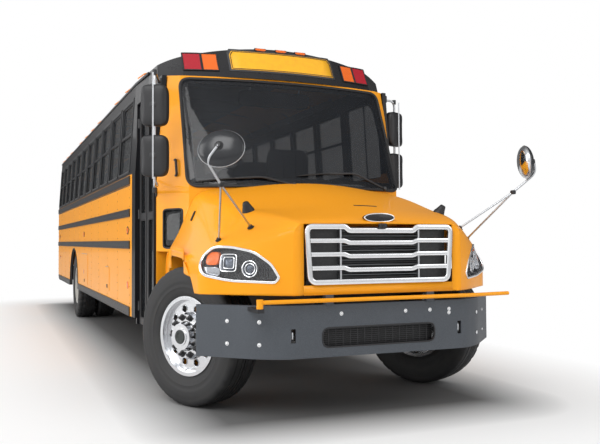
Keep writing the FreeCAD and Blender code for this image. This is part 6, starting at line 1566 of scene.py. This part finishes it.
def padShape(half, crown, channels, drawn, bolster=0.0):
    # closed pad, top upwards: a round-edged section carried across and crowned, its sides drawn in between
    # corners, sewn channels pressed in, side bolsters raised, and a welt cord round its upper edge
    p = padForm
    power = p["roundness"]
    a = np.linspace(-np.pi / 2, np.pi / 2, 33)
    spots = np.array([c + step for c in channels for step in p["channelSteps"]])
    t = np.concatenate([np.sign(a) * np.abs(np.sin(a)) ** power, spots])
    size = np.concatenate([np.abs(np.cos(a)) ** power,
                           np.abs(1 - np.abs(spots) ** (2 / power)) ** (power / 2)])
    order = np.argsort(t)
    t, size = t[order][:, None], size[order][:, None]
    section = boxSection(2.0, 2.0, power, 36)
    x, z = section[None, :, 0] * size, section[None, :, 1] * size
    swell = np.clip(1 - x ** 2, 0, 1) * np.clip(1 - t ** 2, 0, 1)
    rise = np.clip(z, 0, 1) * crown * (swell - 1)
    press = sum(np.exp(-((t - c) / p["channelWidth"]) ** 2) for c in channels) if channels else 0 * t
    rise = rise - np.clip(z, 0, 1) ** 2 * press * p["groove"] * (1 - np.abs(x) ** 6)
    rise = rise + np.clip(z, 0, 1) * bolster * (np.clip(np.abs(t) - 0.62, 0, 0.3) / 0.3 - 1)
    inX = 1 - drawn * np.clip(1 - t ** 2, 0, 1)
    inY = 1 - drawn * np.clip(1 - x ** 2, 0, 1)
    points = np.stack([x * half[0] * inX, t * half[1] * inY + 0 * x, z * half[2] + rise], axis=2)
    pad = gridShape(points, wrapCols=True)
    edge = roundedPath([(-1, -1, 0), (1, -1, 0), (1, 1, 0), (-1, 1, 0)], 0.16, 6, True).reshape(4, 6, 3)
    edge = withRuns(edge, 8)[:, :2] * p["weltIn"]
    inX, inY = 1 - drawn * np.clip(1 - edge[:, 1] ** 2, 0, 1), 1 - drawn * np.clip(1 - edge[:, 0] ** 2, 0, 1)
    up = np.full(len(edge), half[2] * 0.62 - crown * 0.6)
    cord = np.stack([edge[:, 0] * half[0] * inX, edge[:, 1] * half[1] * inY, up], axis=1)
    return together(pad, sweep(cord, (p["welt"], 8), up=(0, 0, 1), closed=True))


def makeBenches():
    # ten rows each side: a crowned seat pad with two sewn channels and a tall back pad with welted edges
    s = seatShape
    seat = padShape((s["depth"] / 2, s["half"], s["thick"] / 2), s["crown"], (-0.33, 0.33), 0.012)
    back = padShape((s["backHigh"] / 2, s["half"], s["backDepth"] / 2), s["crown"] * 0.7, (), 0.010)
    for side, label in ((1, "Left"), (-1, "Right")):
        for row in range(s["rows"]):
            front = s["front"] - s["pitch"] * row
            seatAt = (front - s["depth"] / 2, side * s["side"], s["low"] + s["thick"] / 2)
            backAt = (front - s["depth"] - s["backDepth"] / 2, side * s["side"], s["low"] + s["backHigh"] / 2)
            stands = ["bench_cushions"] if (label, row) == ("Left", 0) else ()
            for name, pad, replaced in (("Seat", moved(seat, seatAt), stands),
                                        ("Back", changed(back, standing, backAt), ())):
                addPiece("bench%s%s%d" % (name, label, row + 1), pad, "vinyl", stands=replaced)


driverPads = (
    # name, half sizes, drawn in, turned by, place, stored nodes
    ("driverCushion", (0.240, 0.250, 0.065), 0.02, np.eye(3), (2.710, 0.560, 1.480), ["driver_seat"]),
    ("driverBack", (0.425, 0.250, 0.060), 0.03, standing, (2.410, 0.560, 1.840), ()),
)


def makeDriverSeat():
    # driver's pads: wide cushion and tall back with raised sides and sewn channels
    for name, half, drawn, table, place, stands in driverPads:
        pad = changed(padShape(half, 0.018, (-0.3, 0.3), drawn, 0.012), table, place)
        addPiece(name, pad, "driverCloth", stands=stands)


cabin = {"ceiling": (-5.54, 2.45), "archHalf": 1.105, "archFoot": 2.770, "archRise": 0.235,
         "panel": ((-5.53, 1.150, 1.120), (2.60, 1.156, 1.880)), "dashX": 3.569, "ventZ": 1.590,
         "vents": (-0.75, -0.35, 0.05, 0.86),
         "gauges": ((0.40, 1.585, 0.034), (0.50, 1.590, 0.048), (0.62, 1.590, 0.048), (0.72, 1.585, 0.034),
                    (0.56, 1.520, 0.024)),
         "mirror": (("cabinMirror", (0.008, 0.360, 0.075), (3.46, 0, 2.585), "plastic"),
                    ("cabinMirrorFace", (0.002, 0.345, 0.064), (3.4525, 0, 2.583), "mirror")),
         "mirrorTilt": ((.97, 0, .26), (0, 1, 0), (-.26, 0, .97)), "mirrorArm": ((3.46, 2.63), (3.50, 2.735))}


def bowPlaces(first, last):
    # the roof bows stand halfway between the windows
    return axleX - sideShape["first"] + roofBowShift - sideShape["pitch"] * np.arange(first, last)


def makeCabin():
    # ceiling liner and bows, inner side panels, gauges and vents in the dash, and the inner mirror
    c = cabin
    x = np.linspace(*c["ceiling"], 25)
    turn = np.linspace(-np.pi / 2, np.pi / 2, 25)
    y = c["archHalf"] * np.sign(turn) * np.abs(np.sin(turn)) ** 0.8
    z = c["archFoot"] + c["archRise"] * np.cos(turn) ** 0.7
    arch = np.stack(np.broadcast_arrays(x[:, None], y[None], z[None]), axis=2)
    addPiece("ceilingLiner", gridShape(arch), "liner", thick=-0.003)
    bows = [sweep(np.stack([np.full(25, at), y * 0.997, z - 0.004], axis=1), (0.040, 0.008, 0.5, 8),
                  up=(1, 0, 0)) for at in bowPlaces(1, 11)]
    addPiece("ceilingBows", bows, "liner")
    addPiece("sidePanels", bothSides(block(*c["panel"])), "liner", bevel=0.002)

    def gauge(profile, steps=28):
        return [lathe([(out, radius * share) for out, share in profile], (c["dashX"], at, z), (-1, 0, 0),
                      steps) for at, z, radius in c["gauges"]]

    addPiece("gaugeRings", gauge([(0, 1), (.006, 1), (.008, .93), (.004, .86), (0, .86)]), "steel")
    addPiece("gaugeFaces", gauge([(.001, .86), (.001, 0)]), "gloss")
    vents = [moved(softBlock((0.008, 0.060, 0.020), 0.3, 10, 20), (c["dashX"] - .003, at, c["ventZ"]))
             for at in c["vents"]]
    addPiece("dashVents", vents, "plastic")
    for name, half, place, finish in c["mirror"]:
        addPiece(name, changed(softBlock(half, 0.3, 12, 32), c["mirrorTilt"], place), finish)
    arms = [sweep([(x, at, z) for x, z in c["mirrorArm"]], (0.007, 10)) for at in (-0.25, 0.25)]
    addPiece("cabinMirrorArms", arms, "steel")


makeBenches()
makeDriverSeat()
makeCabin()
print("stage 8: seats and cabin")


rearShape = {
    "wall": -5.624, "door": -5.630, "bumper": -5.7395, "glassLow": 1.750, "glassHigh": 2.500, "crown": 3.600,
    "roof": 3.070,
    "haunchY": 0.95, "haunchZ": 2.943, "doorPane": 0.382, "pane": (0.618, 1.012), "paneCorner": 0.06,
    "doorway": (0.470, 1.130, 2.620), "handleY": 0.385, "handleZ": (1.60, 1.42),
    "handlePlate": (0.005, 0.032, 0.125),
    "hinge": (0.004, 0.055, 0.038), "hingeY": -0.405, "hingeZ": (1.22, 1.64, 2.53),
    # lamps as across, up, radius
    "lamps": ((0.64, 2.755, 0.088), (0.85, 2.755, 0.088), (0.98, 1.560, 0.070), (0.98, 1.330, 0.060)),
    "turnLamp": (0.82, 1.560, 0.052), "backLamp": (0.82, 1.330, 0.045), "reflector": (1.06, 1.02),
    "marker": (0.014, 0.030, 0.012), "markerY": (-0.22, 0.0, 0.22), "markerZ": 2.945,
    "plateLamp": (0.016, 0.055, 0.012), "plateLampAt": (0.80, 1.035),
    "bolt": (0.013, 0.006), "boltY": (0.20, 0.62, 1.02), "boltZ": (0.53, 0.70),
    "rivetZ": (1.0, 2.66), "rivetPitch": 0.11, "rivetRows": ((0.530, 2.7), (1.085, 2.6)), "headRow": 2.662,
}


def rearLoop(y0, y1, z0, z1, x, corner):
    return roundedPath([(x, y0, z0), (x, y1, z0), (x, y1, z1), (x, y0, z1)], corner, 6, True)


def roofPoint(y, lift):
    # the roof's section: a wide crown arc, then a haunch that rounds down to the eave
    r, y = rearShape, np.abs(np.asarray(y, float))
    crown = r["roof"] - r["crown"] + np.sqrt(r["crown"] ** 2 - np.minimum(y, r["haunchY"]) ** 2)
    over = np.clip((y - r["haunchY"]) / (wall["eaveHalf"] - r["haunchY"]), 0, 1)
    return crown - (r["haunchZ"] - wall["eave"]) * (1 - np.sqrt(1 - (over * 0.995) ** 2)) + lift


def makeRear():
    # window and door seals, handle, hinges, lamp rings and lenses, reflectors, plate lamp, bolts, rivets
    r = rearShape
    band, low, high = (0.024, 0.014, 0.5, 10), r["glassLow"] - .002, r["glassHigh"] + .002
    panes = [(-r["doorPane"], r["doorPane"],
              r["door"])] + [(*sorted((side * r["pane"][0], side * r["pane"][1])), r["wall"])
                             for side in (1, -1)]
    doorSeal, *seals = [sweep(rearLoop(y0, y1, low, high, x - .003, r["paneCorner"]), band, up=(1, 0, 0),
                              closed=True) for y0, y1, x in panes]
    half, foot, head = r["doorway"]
    seals.append(sweep(rearLoop(-half, half, foot, head, r["wall"] - 0.001, 0.01), (0.007, 0.008, 0.5, 8),
                       up=(1, 0, 0), closed=True))
    addPiece("rearSeals", seals, "seal")
    addPiece("rearDoorSeal", doorSeal, "seal", "emergency_door")
    y, ends, out = r["handleY"], r["handleZ"], r["door"] - .040
    handle = roundedPath([(r["door"] + .002, y, ends[0]), (out, y, ends[0]), (out, y, ends[1]),
                          (r["door"] + .002, y, ends[1])], 0.02, 5)
    plate = moved(softBlock(r["handlePlate"], 0.3, 12, 24), (r["door"] - .002, y, sum(ends) / 2))
    hinges = [moved(softBlock(r["hinge"], 0.25, 10, 24), (r["door"] - .001, r["hingeY"], z))
              for z in r["hingeZ"]]
    addPiece("rearHandle", [sweep(handle, (0.009, 12)), plate], "band", "emergency_door")
    addPiece("rearHingePlates", hinges, "steel", "emergency_door")

    def onRear(profile, y, z, steps):
        return lathe(profile, (r["wall"], y, z), (-1, 0, 0), steps)

    def rim(y, z, radius, steps):
        return onRear([(0, radius + .012), (.010, radius + .012), (.014, radius + .006),
                       (.014, radius + .001), (.002, radius + .001)], y, z, steps)

    def dome(y, z, radius):
        return onRear([(0.026, 0), (0.024, radius * .5), (0.019, radius * .93), (0.012, radius)], y, z, 36)

    addPiece("rearLampRings", bothSides([rim(*lamp, 40) for lamp in r["lamps"]]), "seal")
    addPiece("rearTurnLamps", bothSides(dome(*r["turnLamp"])), "amber")
    addPiece("rearBackLamps", bothSides(dome(*r["backLamp"])), "clearLens")
    addPiece("rearSmallRings", bothSides([rim(*r[key], 36) for key in ("turnLamp", "backLamp")]), "chrome")
    addPiece("rearReflectors",
             bothSides(onRear([(.010, 0), (.010, .030), (.006, .036), (0, .036)], *r["reflector"], 30)),
             "red")
    markers = [moved(softBlock(r["marker"], 0.4, 10, 20), (r["wall"] - .010, y, r["markerZ"]))
               for y in r["markerY"]]
    addPiece("rearMarkers", markers, "red")
    addPiece("plateLamp", moved(softBlock(r["plateLamp"], 0.4, 10, 20),
                                (r["wall"] - .014, *r["plateLampAt"])), "plastic")
    places = [(r["bumper"] + .006, side * y, z) for side in (1, -1) for y in r["boltY"] for z in r["boltZ"]]
    addPiece("rearBumperBolts", repeated(domeHead(*r["bolt"], (-1, 0, 0), 10), places), "bolt")
    z = np.arange(*r["rivetZ"], r["rivetPitch"])
    rows = [(r["wall"], side * y, at) for y, top in r["rivetRows"] for side in (1, -1) for at in z
            if at < top]
    rows += [(r["wall"], y, r["headRow"]) for y in np.arange(-0.45, 0.46, 0.10)]
    addPiece("rearRivets", repeated(domeHead(*trimShape["rivet"], (-1, 0, 0), 6), rows), "yellow")


roofShape = {"bow": (0.050, 0.010, 0.5, 10), "bowHalf": 1.150, "hatches": (0.750, -3.000), "hatchClear": 0.36,
             "hatchHalf": .315, "hatchZ": 3.082, "hatchCorner": 0.09, "hatchSeal": (0.012, 0.008, 0.5, 8),
             "vent": (0.190, 0.190, 0.007), "ventZ": 3.1005, "hinge": (0.030, 0.040, 0.010)}


def makeRoofDetail():
    # pressed bows across the roof between the hatches; each hatch with a seal, a vent and hinges
    r = roofShape
    y = np.linspace(-r["bowHalf"], r["bowHalf"], 41)
    bows = [sweep(np.stack([np.full(41, at), y, roofPoint(y, 0.001)], axis=1), r["bow"], up=(0, 0, 1))
            for at in bowPlaces(0, 12) if all(abs(at - hatch) >= r["hatchClear"] for hatch in r["hatches"])]
    addPiece("roofBows", bows, "roofPaint")
    lids, seams = [], []
    half, z = r["hatchHalf"], r["hatchZ"]
    for x in r["hatches"]:
        loop = roundedPath([(x - half, -half, z), (x + half, -half, z), (x + half, half, z),
                            (x - half, half, z)], r["hatchCorner"], 8, True)
        seams.append(sweep(loop, r["hatchSeal"], up=(0, 0, 1), closed=True))
        lids.append(moved(softBlock(r["vent"], 0.25, 10, 40), (x, 0, r["ventZ"])))
        seams += [moved(softBlock(r["hinge"], 0.4, 10, 20), (x + half + .003, y, z + .012))
                  for y in (-.18, .18)]
    addPiece("hatchSeals", seams, "seal")
    addPiece("hatchVents", lids, "plastic")


tankShape = {"places": (-0.55, -1.25), "y": -0.62, "z": 0.76,
             "end": ((.30, 0), (.30, .06), (.285, .095), (.26, .105)), "strapRadius": .110,
             "strap": (0.030, 0.004, 0.5, 8), "strapAt": .16}


def makeUnderside():
    # two air tanks on the rails, each with a pair of straps
    t = tankShape
    profile = [(-along, radius) for along, radius in t["end"]] + list(t["end"])[::-1]
    tanks = [lathe(profile, (x, t["y"], t["z"]), (1, 0, 0), 32) for x in t["places"]]
    straps = [sweep(lathe([(0, t["strapRadius"])], (x + at, t["y"], t["z"]), (1, 0, 0), 24)[0], t["strap"],
                    up=(1, 0, 0), closed=True) for x in t["places"] for at in (-t["strapAt"], t["strapAt"])]
    addPiece("airTanks", tanks, "chassis")
    addPiece("tankStraps", straps, "steel")


makeRear()
makeRoofDetail()
makeUnderside()
print("stage 9: rear, roof and underside")


view = {"place": (9.983, -2.504, 1.230), "yaw": 158.081, "pitch": 1.832, "roll": -0.240, "focus": 734.16,
        "shift": (-13.63, -3.85), "picture": (600, 444), "sensor": 36.0}


def makeCamera():
    # the row of right, up and back vectors turns the camera; the roll turns right and up about the view line
    yaw, pitch, roll = (math.radians(view[key]) for key in ("yaw", "pitch", "roll"))
    ahead = np.array([math.cos(pitch) * math.cos(yaw), math.cos(pitch) * math.sin(yaw), math.sin(pitch)])
    right = unit(np.cross(ahead, (0, 0, 1)))
    up = np.cross(right, ahead)
    turnedRight = math.cos(roll) * right + math.sin(roll) * up
    turnedUp = -math.sin(roll) * right + math.cos(roll) * up
    data = bpy.data.cameras.new("busCamera")
    data.sensor_width = view["sensor"]
    data.lens = view["focus"] / view["picture"][0] * view["sensor"]
    data.shift_x = -view["shift"][0] / view["picture"][0]
    data.shift_y = view["shift"][1] / view["picture"][0]
    camera = bpy.data.objects.new("busCamera", data)
    matrix = np.identity(4)
    matrix[:3, 0], matrix[:3, 1], matrix[:3, 2], matrix[:3, 3] = turnedRight, turnedUp, -ahead, view["place"]
    camera.matrix_world = Matrix(matrix.tolist())
    bpy.context.scene.collection.objects.link(camera)
    bpy.context.scene.camera = camera


lamps = (
    # name, place, aim, power, size
    ("keyLamp", (10, -7, 9), (3, 0, 1), 620.0, 7), ("sideLamp", (1, -12, 5), (0, -1, 1.2), 520.0, 8),
    ("fillLamp", (11, 7, 5), (3, 0, 1), 170.0, 6), ("backLamp", (-11, -6, 8), (-3, 0, 1), 160.0, 7),
)
# the darkest floor colour is a painted shadow under the bus
light = {"world": 0.74, "dark": 0.16, "floorRings": (0.0, 6.0, 9.0, 13.0, 30.0, 90.0),
         "shadowFrom": (5.2, 1.0), "floor": 0.80, "under": (0.035, 0.035, 0.035), "shadow": (0.6, 2.1)}


def makeWorld():
    # eyes see plain white; gloss sees white in front, darker behind and to the driver's side
    world = bpy.data.worlds.new("studio")
    bpy.context.scene.world = world
    world.use_nodes = True
    tree = world.node_tree
    dim = tree.nodes["Background"]
    dim.inputs[0].default_value = (1, 1, 1, 1)
    dim.inputs[1].default_value = light["world"]
    path = tree.nodes.new("ShaderNodeLightPath")
    split = tree.nodes.new("ShaderNodeSeparateXYZ")
    tree.links.new(nodeIn(tree, "ShaderNodeTexCoord", {}, out=0).socket, split.inputs[0])
    forward, across, up = [Sock(tree, output) for output in split.outputs]
    bright = smoothShare(forward - across * 0.9 + up * 0.15, -0.6, 0.75)
    white = nodeIn(tree, "ShaderNodeBackground", {}, (1.0, 1.0, 1.0),
                   bright * (1 - light["dark"]) + light["dark"])
    plain = nodeIn(tree, "ShaderNodeBackground", {}, (1.0, 1.0, 1.0), 1.0)
    glossy = nodeIn(tree, "ShaderNodeMixShader", {}, Sock(tree, path.outputs["Is Glossy Ray"]),
                    Sock(tree, dim.outputs[0]), white)
    seen = Sock(tree, path.outputs["Is Camera Ray"]).most(Sock(tree, path.outputs["Is Transmission Ray"]))
    mix = nodeIn(tree, "ShaderNodeMixShader", {}, seen, glossy, plain)
    tree.links.new(mix.socket, tree.nodes["World Output"].inputs[0])


def makeLamp(name, place, aim, power, size):
    data = bpy.data.lights.new(name, "AREA")
    data.energy, data.size = power, size
    lamp = bpy.data.objects.new(name, data)
    lamp.location = place
    lamp.rotation_euler = (Vector(aim) - Vector(place)).to_track_quat("-Z", "Y").to_euler()
    bpy.context.scene.collection.objects.link(lamp)


def makeFloor():
    # a wide round floor that fades to the white around it, with the shadow of the bus kept near the middle;
    # its colour is darkened under the bus as a painted shadow
    radius = np.array(light["floorRings"])
    turn = around(64)
    points = np.stack([radius[:, None] * np.cos(turn), radius[:, None] * np.sin(turn), np.zeros((6, 64))],
                      axis=2)
    shape = gridShape(points, wrapCols=True)
    mesh = bpy.data.meshes.new("studioFloor")
    mesh.from_pydata(shape[0].tolist(), [], shape[1][0][:, ::-1].tolist())
    floor = bpy.data.objects.new("studioFloor", mesh)
    bpy.context.scene.collection.objects.link(floor)
    material = newMaterial("floorWhite", (light["floor"],) * 3, 0.9)
    tree = material.node_tree
    shader = tree.nodes["Principled BSDF"]
    white = tree.nodes.new("ShaderNodeEmission")
    white.inputs[0].default_value = (1, 1, 1, 1)
    forward, across = placeParts(tree)[:2]
    ahead, aside = [(way.absolute() - start).most(0.0)
                    for way, start in zip((forward, across), light["shadowFrom"])]
    distance = (ahead * ahead + aside * aside).root()
    # painted shadow: the floor colour is near black under the bus and pales to the floor's own within 0.7 m
    # of its outline
    feed(material, "Base Color", blendColours(tree, smoothShare(distance, -0.1, 0.7), light["under"],
                                              (light["floor"],) * 3))
    path = tree.nodes.new("ShaderNodeLightPath")
    seen = Sock(tree, path.outputs["Is Camera Ray"]).most(Sock(tree, path.outputs["Is Transmission Ray"]))
    share = smoothShare(distance, *light["shadow"]) * seen
    mix = nodeIn(tree, "ShaderNodeMixShader", {}, share, Sock(tree, shader.outputs[0]),
                 Sock(tree, white.outputs[0]))
    tree.links.new(mix.socket, tree.nodes["Material Output"].inputs[0])
    mesh.materials.append(material)


makeCamera()
makeWorld()
for row in lamps:
    makeLamp(*row)
makeFloor()
bpy.context.scene.view_settings.view_transform = "Standard"
print("stage 10: camera, light and floor")
